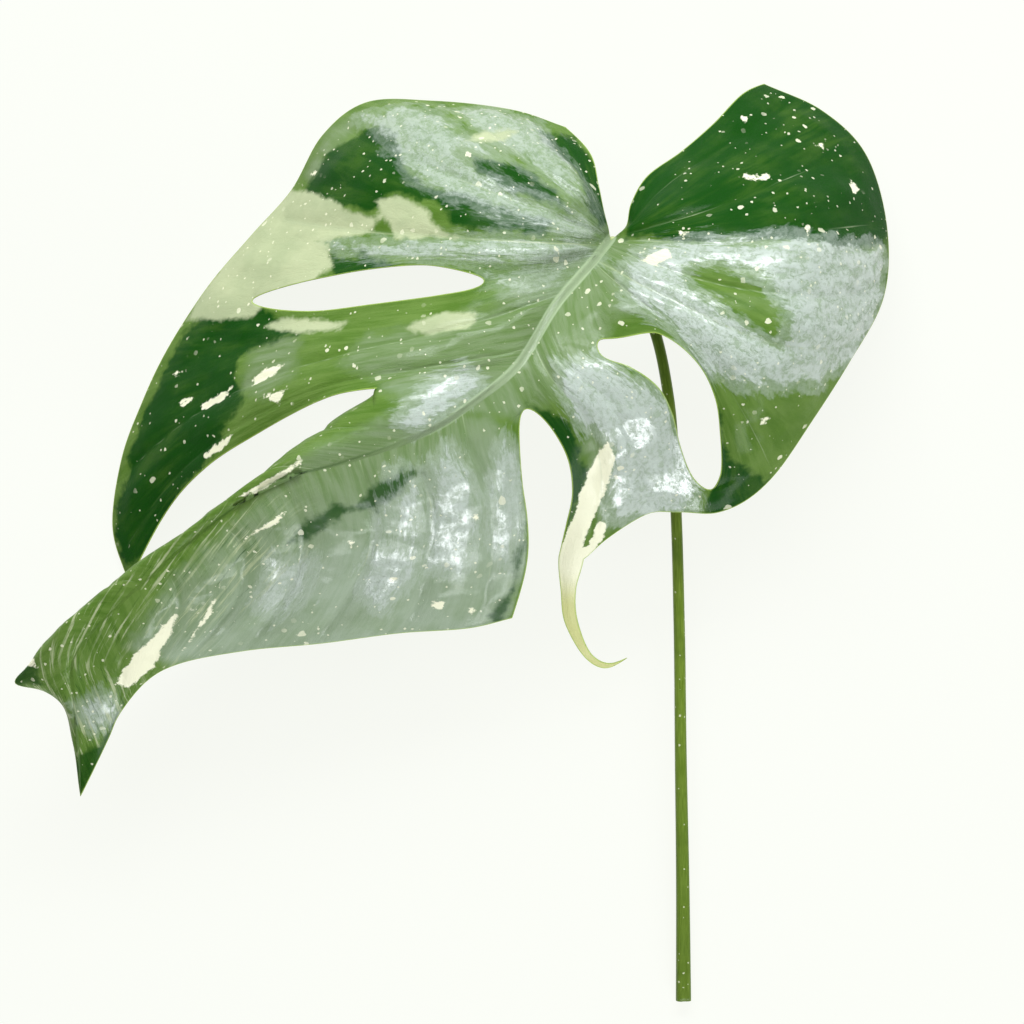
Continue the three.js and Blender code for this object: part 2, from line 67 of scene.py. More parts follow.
NEAR_RIBS = (
    (0, None, None, (
        (0.1, 46, 115, 52), (0.22, 48, 124, 50), (0.35, 54, 135, 46), (0.52, 69, 147, 36),
        (0.7, 83, 160, 24), (0.88, 97, 175, 10), (1, 106, 180, 1),
    )),
    (0, None, None, (
        (0.2, 55, 119, 58), (0.45, 76, 133, 52), (0.75, 104, 151, 32), (1, 130, 168, 6),
    )),
    (0, None, None, (
        (0.2, 59, 113, 64), (0.45, 85, 119, 66), (0.75, 116, 133, 48), (1, 148, 148, 12),
    )),
    (1, None, None, (
        (0.2, 61, 108, 68), (0.45, 88, 106, 75), (0.75, 123, 111, 62), (1, 155, 117, 22),
    )),
    (2, None, None, (
        (0.2, 59, 102, 72), (0.45, 86, 94, 80), (0.75, 118, 89, 74), (1, 152, 88, 34),
    )),
    (5, None, None, (
        (0.2, 54, 96, 76), (0.45, 79, 83, 84), (0.75, 109, 68, 82), (1, 136, 60, 48),
    )),
    (10, None, None, (
        (0.2, 50, 92, 79), (0.45, 71, 77, 86), (0.75, 97, 55, 82), (1, 121, 37, 52),
    )),
    (17, None, None, (
        (0.2, 46, 86, 81), (0.45, 64, 72, 86), (0.6, 76, 61, 84), (0.8, 92, 38, 74),
        (1, 106, 15, 48),
    )),
    (26, 0.15, 0.93, (
        (0.15, 34, 67, 84), (0.3, 57, 70, 87, 47, 56, 86), (0.45, 72, 59, 85, 57, 49, 84),
        (0.6, 80, 45, 78, 63, 39, 77), (0.75, 83, 29, 67, 67, 26, 66),
        (0.86, 84, 16, 56, 72, 15, 56), (0.93, 80, 9, 50), (1, 84, 0, 44),
    )),
    (45, None, None, (
        (0.2, 23, 61, 88), (0.4, 39, 50, 88), (0.6, 53, 35, 79), (0.8, 60, 18, 62),
        (1, 67, 0, 46),
    )),
    (56, None, None, (
        (0.2, 20, 56, 90), (0.4, 34, 44, 88), (0.6, 44, 28, 78), (0.8, 50, 12, 62),
        (1, 54, -1, 49),
    )),
    (62, None, None, (
        (0.2, 17, 52, 90), (0.4, 29, 41, 88), (0.6, 37, 24, 76), (0.8, 40, 7, 61),
        (1, 38, -11, 49),
    )),
    (67, None, None, (
        (0.2, 14, 49, 90), (0.4, 24, 38, 86), (0.6, 31, 22, 75), (0.8, 32, 3, 61),
        (1, 29, -19, 46), (1.2, 26, -32, 37), (1.4, 27, -45, 28), (1.6, 33, -59, 19),
        (1.75, 40, -63, 13), (1.9, 48, -61, 9),
    )),
    (80, 0.15, None, (
        (0.15, 5, 40, 88), (0.3, 16, 32, 83, 3, 25, 84), (0.45, 22, 21, 76, 4, 12, 76),
        (0.6, 24, 9, 67, 6, -2, 68), (0.8, 22, -4, 57, 6, -20, 56), (1, 19, -18, 45, 0, -43, 42),
        (1.2, 20, -32, 36), (1.4, 22, -46, 27), (1.6, 31, -61, 18), (1.75, 39, -65, 12),
        (1.9, 48, -61, 9),
    )),
    (104, None, None, (
        (0.2, -16, 23, 91), (0.4, -10, 8, 82), (0.6, -9, -10, 69), (0.8, -11, -29, 55),
        (1, -17, -47, 43),
    )),
    (122, None, None, (
        (0.2, -34, 16, 93), (0.4, -30, 1, 83), (0.6, -32, -17, 70), (0.8, -37, -35, 56),
        (1, -45, -49, 44),
    )),
    (148, None, None, (
        (0.2, -56, 9, 94), (0.4, -53, -7, 84), (0.6, -58, -23, 71), (0.8, -66, -38, 58),
        (1, -76, -53, 46),
    )),
    (182, None, None, (
        (0.2, -86, -1, 93), (0.4, -84, -14, 84), (0.6, -89, -29, 72), (0.8, -98, -43, 59),
        (1, -108, -56, 49),
    )),
    (215, None, None, (
        (0.2, -110, -16, 87), (0.4, -109, -27, 79), (0.6, -113, -38, 69), (0.8, -123, -50, 60),
        (1, -134, -61, 52),
    )),
    (240, None, None, (
        (0.25, -133, -33, 81), (0.5, -134, -44, 72), (0.75, -140, -56, 62), (1, -147, -68, 54),
    )),
    (268, None, None, (
        (0.25, -155, -49, 73), (0.5, -152, -58, 66), (0.75, -153, -68, 58), (1, -158, -81, 51),
    )),
    (292, None, None, (
        (0.33, -169, -69, 60), (0.66, -165, -79, 54), (1, -163, -91, 47),
    )),
    (318, None, None, (
        (0.33, -172, -94, 48), (0.66, -170, -99, 46), (1, -169, -103, 44),
    )),
)

FAR_RIBS = (
    (0, None, None, (
        (0.25, 37, 121, 52), (0.5, 35, 132, 47), (0.75, 32, 146, 37), (1, 22, 159, 22),
    )),
    (0, None, None, (
        (0.25, 31, 127, 57), (0.5, 20, 141, 51), (0.75, 9, 154, 36), (1, 0, 167, 16),
    )),
    (0, None, None, (
        (0.25, 25, 125, 62), (0.5, 5, 140, 57), (0.75, -15, 158, 35), (1, -33, 172, 7),
    )),
    (0, None, None, (
        (0.25, 19, 121, 66), (0.5, -9, 136, 60), (0.75, -38, 156, 35), (1, -62, 172, 1),
    )),
    (1, None, None, (
        (0.25, 15, 115, 70), (0.5, -18, 126, 64), (0.75, -52, 141, 40), (1, -80, 158, 1),
    )),
    (3, None, None, (
        (0.25, 11, 110, 73), (0.5, -25, 115, 67), (0.75, -63, 124, 41), (1, -93, 135, 1),
    )),
    (7, None, None, (
        (0.25, 8, 104, 76), (0.5, -31, 106, 68), (0.75, -71, 109, 42), (1, -109, 117, 1),
    )),
    (20, 0.25, 0.84, (
        (0.25, -11, 91, 78), (0.4, -34, 98, 71, -32, 85, 72), (0.55, -57, 97, 61, -55, 83, 62),
        (0.7, -83, 94, 45, -81, 81, 46), (0.84, -107, 87, 26), (1, -132, 89, 1),
    )),
    (34, None, None, (
        (0.25, -13, 80, 82), (0.5, -50, 75, 70), (0.75, -92, 73, 42), (1, -144, 70, 1),
    )),
    (48, None, None, (
        (0.25, -20, 71, 86), (0.5, -62, 65, 73), (0.75, -107, 59, 40), (1, -156, 45, 1),
    )),
    (58, None, None, (
        (0.25, -24, 64, 88), (0.5, -70, 57, 75), (0.75, -117, 45, 38), (1, -164, 23, 1),
    )),
    (68, None, None, (
        (0.25, -28, 57, 90), (0.5, -76, 50, 76), (0.75, -124, 31, 36), (1, -168, -3, 1),
    )),
    (80, 0.25, None, (
        (0.25, -53, 48, 92), (0.45, -78, 43, 77, -56, 43, 80), (0.6, -101, 32, 58, -58, 40, 63),
        (0.75, -125, 18, 38, -58, 37, 45), (0.88, -143, 0, 21, -58, 34, 30),
        (1, -161, -30, 3, -56, 30, 16),
    )),
    (104, None, None, (
        (0.2, -48, 39, 99), (0.35, -63, 38, 92), (0.6, -65, 37, 66), (0.8, -64, 33, 40),
        (1, -61, 27, 18),
    )),
    (130, None, None, (
        (0.2, -65, 29, 100), (0.35, -77, 28, 93), (0.6, -80, 25, 66), (0.8, -78, 20, 42),
        (1, -75, 13, 20),
    )),
    (165, None, None, (
        (0.2, -92, 17, 99), (0.35, -100, 12, 91), (0.6, -102, 8, 64), (0.8, -101, 2, 42),
        (1, -98, -3, 22),
    )),
    (206, None, None, (
        (0.2, -120, -3, 94), (0.35, -125, -6, 87), (0.6, -128, -11, 62), (0.8, -127, -17, 42),
        (1, -124, -22, 26),
    )),
    (240, None, None, (
        (0.2, -145, -21, 86), (0.35, -150, -23, 80), (0.6, -153, -28, 60), (0.8, -152, -32, 45),
        (1, -150, -38, 33),
    )),
    (262, None, None, (
        (0.2, -162, -35, 80), (0.35, -167, -36, 76), (0.6, -172, -40, 63), (0.8, -173, -44, 52),
        (1, -173, -50, 42),
    )),
    (282, None, None, (
        (0.25, -177, -49, 74), (0.5, -184, -54, 69), (0.75, -190, -58, 62), (1, -194, -62, 55),
    )),
    (294, None, None, (
        (0.3, -180, -61, 67), (0.6, -189, -64, 61), (1, -200, -69, 52),
    )),
    (304, None, None, (
        (0.3, -180, -70, 61), (0.6, -183, -72, 58), (1, -189, -72, 51),
    )),
    (314, None, None, (
        (0.3, -177, -79, 56), (0.6, -179, -79, 54), (1, -182, -77, 50),
    )),
    (330, None, None, (
        (0.3, -176, -94, 48), (0.6, -177, -94, 47), (1, -178, -93, 45),
    )),
)

TAIL_RIB = 12  # near rib from which the curled tail of the second lobe hangs
TAIL_SPAN = 0.9  # how far past the margin the tail runs, in w
TAIL_BLEND = 0.3  # w over which the tail takes up the lobe's arch
TAIL_LENGTH = 90  # how much longer the streaks get along it, in mm
NEAR_LAST_LOBE = 13  # rib after which the last lobe begins on each side
FAR_LAST_LOBE = 12
FAR_RIBS_FROM = 100  # added to a far rib's number, so that the sides don't share one
FAR_GRAIN_FROM = 1000  # the same for the place across the streaks
FAR_FROM_VEIN = 99.0
RIB, ACROSS, OUT, GRAIN, VEIN = range(5)  # columns of a point's facts; the sixth is the pucker

# Side veins as (rib number at the midrib, rib number at the margin, strength).
NEAR_VEINS = (
    (0.5, 0.6, 0.7), (1.7, 1.9, 0.8), (3.1, 2.9, 0.9), (4.9, 3.9, 0.8), (6.7, 4.7, 1.5), (7.0, 7.0, 0.5),
    (9.6, 9.8, 0.6), (11.3, 11.6, 1.0), (14.0, 13.9, 0.8), (15.1, 15.0, 0.9), (16.0, 16.1, 0.9),
    (16.9, 17.0, 0.9), (17.8, 18.0, 0.8), (18.9, 19.1, 0.7), (20.0, 20.4, 0.6),
)
FAR_VEINS = (
    (0.6, 0.6, 0.6), (1.8, 1.9, 0.8), (3.5, 3.7, 0.9), (5.6, 5.6, 1.7), (8.2, 10.4, 1.0),
    (10.8, 11.6, 0.8), (13.6, 13.4, 0.8), (15.0, 15.0, 0.8), (16.2, 16.2, 0.8),
    (17.4, 17.6, 0.7),
)

# Variegation, painted sheen and painted shade in plan, as outlines of (x, y) in mm.
DEEP_AND_SHADE_PATCHES = (  # darkest green, partly the blade's own deep green and partly painted shade where the blade faces away from the lights
    ((68, 123), (96, 119), (120, 120), (150, 118), (176, 121), (182, 150), (165, 182), (122, 195),
     (92, 172), (72, 150)),
    ((99, 60), (105, 50), (109, 34), (124, 26), (144, 36), (137, 24), (114, 6), (101, 13),
     (104, 38)),
    ((-64, 142), (-49, 165), (-36, 173), (-24, 166), (-21, 151), (-12, 143), (10, 137), (36, 127),
     (33, 122), (6, 122), (-1, 125), (-6, 135), (-26, 140), (-33, 133), (-52, 139), (-62, 134)),
    ((33, 168), (48, 166), (57, 153), (62, 128), (57, 127), (48, 148), (38, 157)),
    ((4, 156), (25, 150), (41, 140), (44, 132), (25, 138), (9, 147)),
    ((-52, 115), (-38, 116), (-24, 111), (-30, 105), (-48, 104)),
    ((-108, 96), (-80, 97), (-70, 89), (-48, 86), (-72, 81), (-87, 76), (-90, 66), (-83, 57),
     (-92, 46), (-110, 24), (-128, -4), (-142, -14), (-144, 12), (-136, 40), (-124, 72)),
    ((-66, 0), (-60, 8), (-46, 16), (-40, 14), (-50, 8), (-58, 2)),
    ((-38, 14), (-30, 24), (-16, 31), (-12, 28), (-24, 20), (-30, 12)),
    ((-156, -104), (-153, -86), (-142, -80), (-136, -68), (-130, -72), (-144, -96)),
    ((28, 55), (38, 54), (48, 42), (52, 29), (48, 14), (42, 2), (38, -8), (38, 20), (44, 30)),
    ((-186, -50), (-168, -46), (-166, -56), (-184, -62)),
    ((17, -32), (24, -20), (29, 10), (26, 10), (21, -18), (12, -30)),
)
WASH_PATCHES = (  # half green, nearly cream
    ((-114, 93), (-104, 110), (-92, 126), (-61, 127), (-52, 120), (-49, 111), (-61, 104),
     (-76, 100), (-84, 93), (-100, 91)),
    ((-94, 124), (-84, 137), (-72, 148), (-60, 145), (-51, 140), (-43, 134), (-31, 131),
     (-35, 124), (-61, 122)),
    ((-32, 138), (-23, 139), (-10, 132), (-6, 125), (1, 121), (-24, 122), (-28, 130)),
    ((-78, 88), (-64, 92), (-44, 88), (-46, 84), (-66, 84)),
    ((-20, 84), (-6, 90), (8, 90), (6, 84), (-10, 82)),
    ((2, 160), (12, 167), (24, 166), (16, 161)),
)
SAGE_AND_SHEEN_PATCHES = (  # grey green, partly the blade's own sage variegation and partly painted sheen
    ((-42, 178), (-54, 174), (-64, 154), (-55, 148), (-46, 159), (-43, 168)),
    ((-6, 160), (12, 170), (28, 168), (32, 158), (16, 150), (0, 152)),
    ((-88, 60), (-84, 78), (-70, 86), (-62, 82), (-64, 66), (-76, 58)),
    ((-44, 70), (-34, 82), (-4, 85), (10, 94), (12, 84), (-4, 70), (-28, 62)),
    ((-30, 62), (0, 80), (20, 98), (44, 112), (62, 124), (78, 118), (76, 92), (62, 88), (58, 78),
     (52, 64), (34, 50), (6, 50), (-10, 46)),
    ((52, 52), (60, 66), (74, 60), (82, 44), (86, 22), (80, 12), (60, 6), (54, 24), (52, 40)),
    ((-116, -20), (-84, 10), (-58, 34), (-20, 50), (14, 50), (28, 34), (29, -8), (18, -36),
     (-40, -44), (-90, -48), (-116, -48), (-130, -40)),
    ((78, 130), (88, 138), (100, 152), (92, 154), (78, 144), (72, 132)),
    ((-154, -64), (-142, -62), (-136, -70), (-146, -76), (-154, -74)),
)
PAINTED_SHEEN_PATCHES = (  # painted sheen: pale silvery reflection of the lights painted into the colour
    ((-42, 176), (-22, 179), (-8, 174), (6, 160), (24, 150), (48, 134), (60, 125), (52, 118),
     (34, 124), (10, 132), (-12, 142), (-22, 152), (-28, 164)),
    ((-6, 178), (14, 180), (34, 171), (44, 154), (56, 132), (42, 138), (30, 152), (14, 164)),
    ((-54, 122), (-34, 120), (-10, 121), (24, 120), (50, 122), (58, 114), (40, 108), (22, 110),
     (-6, 112), (-30, 114), (-48, 117)),
    ((66, 108), (76, 118), (100, 120), (116, 119), (130, 122), (174, 120), (174, 96), (162, 76),
     (144, 64), (118, 62), (98, 66), (92, 76), (82, 88), (68, 94)),
    ((41, 70), (57, 72), (73, 62), (83, 57), (89, 45), (95, 25), (97, 14), (77, 11), (62, 9),
     (60, 25), (63, 37), (57, 43), (50, 46), (42, 57)),
    ((-38, -20), (-30, 6), (-26, 26), (-20, 32), (-14, 28), (-15, 6), (-18, -14), (-30, -26)),
    ((-12, -10), (-8, 32), (-2, 38), (5, 30), (8, 8), (2, -12)),
    ((14, 2), (15, 34), (20, 42), (27, 30), (26, 6), (20, -8)),
    ((-80, -24), (-72, -6), (-56, -4), (-60, -20), (-74, -30)),
    ((-22, 48), (-12, 60), (4, 69), (11, 63), (-4, 50), (-16, 44)),
    ((-152, -66), (-142, -60), (-136, -68), (-146, -76)),
    ((10, 104), (30, 112), (46, 112), (40, 100), (26, 96)),
)
# How strongly the painted sheen shows in each of the patches above.
PAINTED_SHEEN_STRENGTHS = (0.66, 0.6, 0.75, 1.05, 1.2, 1.0, 0.95, 0.8, 0.85, 1.25, 0.85, 0.4)
BARE_PATCHES = (  # green gaps cut out of the painted sheen
    ((90, 108), (106, 110), (124, 103), (125, 96), (130, 90), (127, 76), (116, 83), (104, 92),
     (92, 100)),
    ((-30, -2), (-20, -2), (-24, 20), (-28, 12)),
    ((-42, 12), (-30, 26), (-16, 32), (-10, 28), (-24, 18)),
    ((2, 157), (25, 151), (41, 141), (45, 131), (25, 139), (6, 150)),
)
CREAM_PATCHES = (
    ((60, 41), (63, 35), (61, 25), (58, 17), (55, 10), (52, 4), (51, -1), (53, -1), (57, 8),
     (60, 9), (60, 3), (55, -5), (50, -11), (40, -11), (42, -1), (44, 3), (47, 11), (50, 21),
     (52, 26), (53, 29), (57, 37)),
    ((-136, -56), (-128, -44), (-116, -32), (-110, -28), (-114, -38), (-122, -50), (-132, -58)),
    ((-84, 18), (-70, 26), (-58, 33), (-60, 30), (-76, 20)), ((-88, -2), (-66, 13), (-68, 10)),
    ((-110, -42), (-96, -22), (-92, -14), (-98, -28)), ((-174, -50), (-168, -46), (-166, -49)),
    ((-83, 66), (-76, 70), (-68, 72), (-74, 67), (-82, 63)), ((-76, 58), (-66, 61), (-70, 55)),
    ((-106, 56), (-98, 60), (-90, 64), (-96, 58), (-104, 54)), ((-116, 58), (-109, 60), (-112, 55)),
    ((-104, 36), (-94, 42), (-90, 44), (-94, 38), (-102, 34)), ((-119, 70), (-114, 71), (-116, 67)),
    ((74, 112), (84, 116), (86, 112), (78, 109)), ((146, 163), (151, 164), (150, 160)),
    ((115, 147), (126, 148), (126, 146), (116, 145)), ((160, 149), (164, 144), (160, 141)),
    ((137, 127), (141, 126), (140, 122)), ((88, 124), (93, 123), (89, 121)),
    ((117, 176), (120, 175), (118, 172)), ((-62, 153), (-57, 154), (-59, 151)),
    ((-9, -22), (-5, -23), (-6, -26), (-10, -25)), ((-2, -4), (1, -4), (0, -7)),
    ((6, 12), (9, 12), (8, 9)), ((-26, -12), (-23, -13), (-26, -15)), ((4, -26), (8, -27), (6, -29)),
    ((-42, 2), (-39, 2), (-41, -1)), ((100, 42), (104, 41), (101, 38)), ((120, 50), (124, 51), (121, 47)),
)


# ---- curves and ribs -----------------------------------------------------------------------------


def curve_through(knots, points):
    """A smooth curve through points at rising knots, as a function of an array of places."""
    knots = np.asarray(knots, float)
    points = np.asarray(points, float)
    chords = (points[1:] - points[:-1]) / (knots[1:] - knots[:-1])[:, None]
    slopes = np.empty_like(points)
    before = (knots[1:-1] - knots[:-2])[:, None]
    after = (knots[2:] - knots[1:-1])[:, None]
    slopes[1:-1] = (chords[:-1] * after + chords[1:] * before) / (before + after)
    slopes[0] = chords[0]
    slopes[-1] = chords[-1]
    if len(points) > 2:
        slopes[0] = 1.5 * chords[0] - 0.5 * slopes[1]
        slopes[-1] = 1.5 * chords[-1] - 0.5 * slopes[-2]

    def curve(at):
        x = np.clip(np.atleast_1d(np.asarray(at, float)), knots[0], knots[-1])
        i = np.clip(np.searchsorted(knots, x, side="right") - 1, 0, len(knots) - 2)
        span = (knots[i + 1] - knots[i])[:, None]
        t = (x - knots[i])[:, None] / span
        return hermite(points[i], slopes[i] * span, points[i + 1], slopes[i + 1] * span, t)

    return curve


def hermite(a, rise_a, b, rise_b, t):
    return (
        (2 * t**3 - 3 * t**2 + 1) * a + (t**3 - 2 * t**2 + t) * rise_a
        + (3 * t**2 - 2 * t**3) * b + (t**3 - t**2) * rise_b
    )


def ease(value, low, high):
    """0 at low, 1 at high and smooth between."""
    t = np.clip((value - low) / (high - low), 0, 1)
    return t * t * (3 - 2 * t)


def knots_along(points):
    steps = np.linalg.norm(np.diff(np.asarray(points, float), axis=0), axis=1)
    return np.concatenate(([0], np.cumsum(steps)))


MIDRIB_KNOTS = knots_along(MIDRIB_POINTS)
MIDRIB_LENGTH = MIDRIB_KNOTS[-1]
midrib_at = curve_through(MIDRIB_KNOTS, MIDRIB_POINTS)


def midrib_half_width(s):
    """Half the width of the midrib at s along it, in mm."""
    return 0.35 + 1.65 * (1 - s / MIDRIB_LENGTH)


class Rib:
    """A line over the blade from the midrib to the margin, which a slit or hole may split."""

    def __init__(self, start, opens, closes, rows):
        self.start = start
        self.opens = opens
        self.closes = closes
        body = [row for row in rows if opens is None or row[0] <= 1]
        middles = [self.middle(row) for row in body]
        root = midrib_at(start)[0]
        towards = middles[0] - root
        root = root + towards * midrib_half_width(start) / np.linalg.norm(towards)
        self.centre = curve_through([0] + [row[0] for row in body], [root] + middles)
        if opens is None:
            return
        pairs = [row for row in rows if len(row) > 4]
        places = np.array([row[0] for row in pairs])
        gaps = np.array([np.subtract(row[1:4], row[4:7]) for row in pairs]) / 2
        self.half_gap = curve_through(places, gaps / self.shape(places)[:, None])
        edge = pairs[-2:] + [row for row in rows if row[0] > 1]
        self.tail = curve_through([row[0] for row in edge], [row[1:4] for row in edge])

    @staticmethod
    def middle(row):
        points = np.asarray(row[1:], float).reshape(-1, 3)
        return points.mean(axis=0)

    def shape(self, w):
        """How wide the slit or hole is along the rib: round where it opens and closes."""
        if self.closes is None:
            return np.sqrt(np.clip((w - self.opens) / (1 - self.opens), 0, 1))
        s = np.clip((w - self.opens) / (self.closes - self.opens), 0, 1)
        return np.sqrt(4 * s * (1 - s))

    def edges(self, w, beside):
        """Points at w on the edge towards the rib before, and on the edge towards the rib after.

        The ends of a hole lie in the blade's own surface, which runs on along beside.
        """
        centre = self.centre(w)
        if self.opens is None:
            return centre, centre
        shape = self.shape(w)[:, None]
        gap = shape * self.half_gap(w)
        if self.closes is None:
            return centre + gap, centre - gap
        normal = np.cross(np.gradient(centre, w, axis=0), beside)
        normal /= np.linalg.norm(normal, axis=1)[:, None]
        lift = (gap * normal).sum(axis=1)[:, None] * normal
        gap = gap - lift * (1 - shape**2)
        return centre + gap, centre - gap


# ---- the blade's sheet ---------------------------------------------------------------------------


def stations_for(ribs, step):
    """Places across a side of the blade, closer together round the ends of slits and holes."""
    places = set(np.round(np.linspace(0, 1, int(round(1 / step)) + 1), 5))
    for rib in ribs:
        if rib.opens is None:
            continue
        for end, way in ((rib.opens, 1), (rib.closes, -1)):
            if end is None:
                continue
            places = {w for w in places if abs(w - end) > 0.4 * step}
            places.update(round(end + way * step * k, 5) for k in (0, 0.06, 0.22, 0.5))
    return np.array(sorted(places))


class Sheet:
    """Points of the blade's middle surface with what is known about each, and its faces."""

    FACTS = ("rib", "w", "out", "grain", "vein", "vein_lift")

    def __init__(self):
        self.points = []
        self.facts = []
        self.faces = []

    def add(self, points, facts):
        first = sum(len(block) for block in self.points)
        self.points.append(points)
        self.facts.append(facts)
        return first

    def add_grid(self, grid, facts, flipped):
        rows, columns = grid.shape[:2]
        first = self.add(grid.reshape(-1, 3), facts.reshape(rows * columns, -1))
        index = first + np.arange(rows * columns).reshape(rows, columns)
        quads = np.stack(
            (index[:-1, :-1], index[:-1, 1:], index[1:, 1:], index[1:, :-1]), axis=-1
        ).reshape(-1, 4)
        self.faces.append(quads[:, ::-1] if flipped else quads)

    def welded(self):
        """(points, facts, faces) with equal points made one and collapsed corners dropped."""
        points = np.concatenate(self.points)
        facts = np.concatenate(self.facts)
        keys = np.round(points, 4)
        _, first, index = np.unique(keys, axis=0, return_index=True, return_inverse=True)
        index = index.reshape(-1)
        faces = []
        for face in np.concatenate(self.faces):
            corners = []
            for corner in index[face]:
                if corner not in corners:
                    corners.append(int(corner))
            if len(corners) > 2:
                faces.append(corners)
        return points[first], facts[first], faces


def loft_side(ribs, step):
    """The rib lines of one side: (edge before, edge after, widths between, slopes, stations)."""
    w = stations_for(ribs, step)
    tip = np.repeat(midrib_at(MIDRIB_LENGTH), len(w), axis=0)
    before = []
    after = []
    for i, rib in enumerate(ribs):
        beside = ribs[min(i + 1, len(ribs) - 1)].centre(w) - ribs[max(i - 1, 0)].centre(w)
        edges = rib.edges(w, beside)
        before.append(edges[0])
        after.append(edges[1])
    before.append(tip)
    after.append(tip)
    spans = [
        max(4.0, float(np.linalg.norm(before[i + 1] - after[i], axis=1).mean()))
        for i in range(len(ribs))
    ]
    slopes = [rib_slopes(before, after, spans, i) for i in range(len(before))]
    return before, after, spans, slopes, w


def rib_slopes(before, after, spans, i):
    """Slopes across rib number i, for the panel before it and for the panel after it."""
    back = (before[i] - after[i - 1]) / spans[i - 1] if i > 0 else None
    ahead = (before[i + 1] - after[i]) / spans[i] if i < len(spans) else None
    if back is None:
        return ahead, ahead
    if ahead is None:
        return back, back
    shared = (back * spans[i] + ahead * spans[i - 1]) / (spans[i] + spans[i - 1])
    apart = ease(np.linalg.norm(before[i] - after[i], axis=1), 0, 10)[:, None]
    return shared + (back - shared) * apart, shared + (ahead - shared) * apart


def panel_rows(parts, i, row_step):
    """The rows from rib i to the next, and how far along the panel each row is."""
    before, after, spans, slopes = parts[:4]
    widest = float(np.linalg.norm(before[i + 1] - after[i], axis=1).max())
    count = max(2, int(round((0.5 * spans[i] + 0.5 * widest) / row_step)))
    t = np.linspace(0, 1, count + 1)
    grid = hermite(
        after[i], slopes[i][1] * spans[i], before[i + 1], slopes[i + 1][0] * spans[i],
        t[:, None, None],
    )
    grid[0] = after[i]
    grid[-1] = before[i + 1]
    return grid, t


def vein_facts(rib_numbers, across, w, veins):
    """(distance to the nearest side vein in mm, puckering from 0 at a vein to 1 between two)."""
    nearest = np.full(across.shape, FAR_FROM_VEIN)
    tracks = []
    for at_midrib, at_margin, strength in veins:
        wanted = at_midrib + (at_margin - at_midrib) * w
        track = np.array([
            np.interp(wanted[j], rib_numbers, across[:, j]) for j in range(len(w))
        ])
        tracks.append(track)
        nearest = np.minimum(nearest, np.abs(across - track) / strength)
    tracks = np.array(tracks)
    lift = np.zeros(across.shape)
    for j in range(len(w)):
        lines = np.concatenate(([across[0, j] - 6], tracks[:, j], [across[-1, j] + 6]))
        k = np.clip(np.searchsorted(lines, across[:, j], side="right") - 1, 0, len(lines) - 2)
        gap = np.maximum(lines[k + 1] - lines[k], 0.01)
        phase = (across[:, j] - lines[k]) / gap
        lift[:, j] = np.sin(np.pi * np.clip(phase, 0, 1)) * np.clip(gap / 18, 0, 1.3)
    return nearest, lift


def side_facts(panels, w, veins):
    """Facts for all panels of a side, as one array for each panel."""
    rows = np.concatenate([grid for grid, t in panels])
    numbers = np.concatenate([i + t for i, (grid, t) in enumerate(panels)])
    starts = np.cumsum([0] + [len(t) for grid, t in panels])
    steps = np.zeros(rows.shape[:2])
    steps[1:] = np.linalg.norm(rows[1:] - rows[:-1], axis=2)
    steps[starts[1:-1]] = 0
    across = np.cumsum(steps, axis=0)
    out = np.concatenate(
        (np.zeros((len(rows), 1)), np.cumsum(np.linalg.norm(np.diff(rows, axis=1), axis=2), axis=1)),
        axis=1,
    )
    climb = numbers + np.linspace(0, 1e-6, len(numbers))
    nearest, lift = vein_facts(climb, across, w, veins)
    shape = np.ones(rows.shape[:2])
    grain = across[:, : int(0.75 * len(w))].mean(axis=1)
    facts = np.stack(
        (shape * numbers[:, None], shape * w[None, :], out, shape * grain[:, None], nearest, lift),
        axis=-1,
    )
    return [facts[starts[i]:starts[i + 1]] for i in range(len(panels))]


def add_side(sheet, ribs, veins, step, row_step, flipped):
    """Adds one side of the blade and returns its roots: (s along the midrib, point)."""
    parts = loft_side(ribs, step)
    panels = [panel_rows(parts, i, row_step) for i in range(len(ribs))]
    facts = side_facts(panels, parts[4], veins)
    roots = []
    for i, (grid, t) in enumerate(panels):
        sheet.add_grid(grid, facts[i], flipped)
        end = ribs[i + 1].start if i + 1 < len(ribs) else MIDRIB_LENGTH
        roots += [(ribs[i].start + (end - ribs[i].start) * v, grid[k, 0]) for k, v in enumerate(t[:-1])]
    roots.append((MIDRIB_LENGTH, midrib_at(MIDRIB_LENGTH)[0]))
    return roots, panels, facts


def add_tail(sheet, ribs, panels, facts, step):
    """The curled tail below the second lobe, which carries on from the last row of a panel."""
    grid, t = panels[TAIL_RIB]
    w = np.linspace(1, 1 + TAIL_SPAN, int(TAIL_SPAN / step))
    left = ribs[TAIL_RIB].centre(w)
    right = ribs[TAIL_RIB + 1].tail(w)
    flat = left[None] + (right - left)[None] * t[:, None, None]
    lift = grid[:, -1] - flat[:, 0]
    rows = flat + lift[:, None] * np.clip(1 - (w - 1) / TAIL_BLEND, 0, 1)[None, :, None]
    rows[:, 0] = grid[:, -1]
    last = facts[TAIL_RIB][:, -1]
    known = np.repeat(last[:, None], len(w), axis=1).copy()
    known[..., ACROSS] = w[None]
    known[..., OUT] += (w - 1)[None] * TAIL_LENGTH
    sheet.add_grid(rows, known, True)


def add_midrib(sheet, near_roots, far_roots, step):
    """Closes the gap between the roots of both sides with the midrib's crest."""
    merged = sorted({round(s, 4) for s, point in near_roots + far_roots})
    crest = [0.0]
    for s in merged:
        if s - crest[-1] > step:
            crest.append(s)
    crest_points = midrib_at(crest)
    zip_strip(sheet, near_roots, crest, crest_points, True)
    zip_strip(sheet, far_roots, crest, crest_points, False)


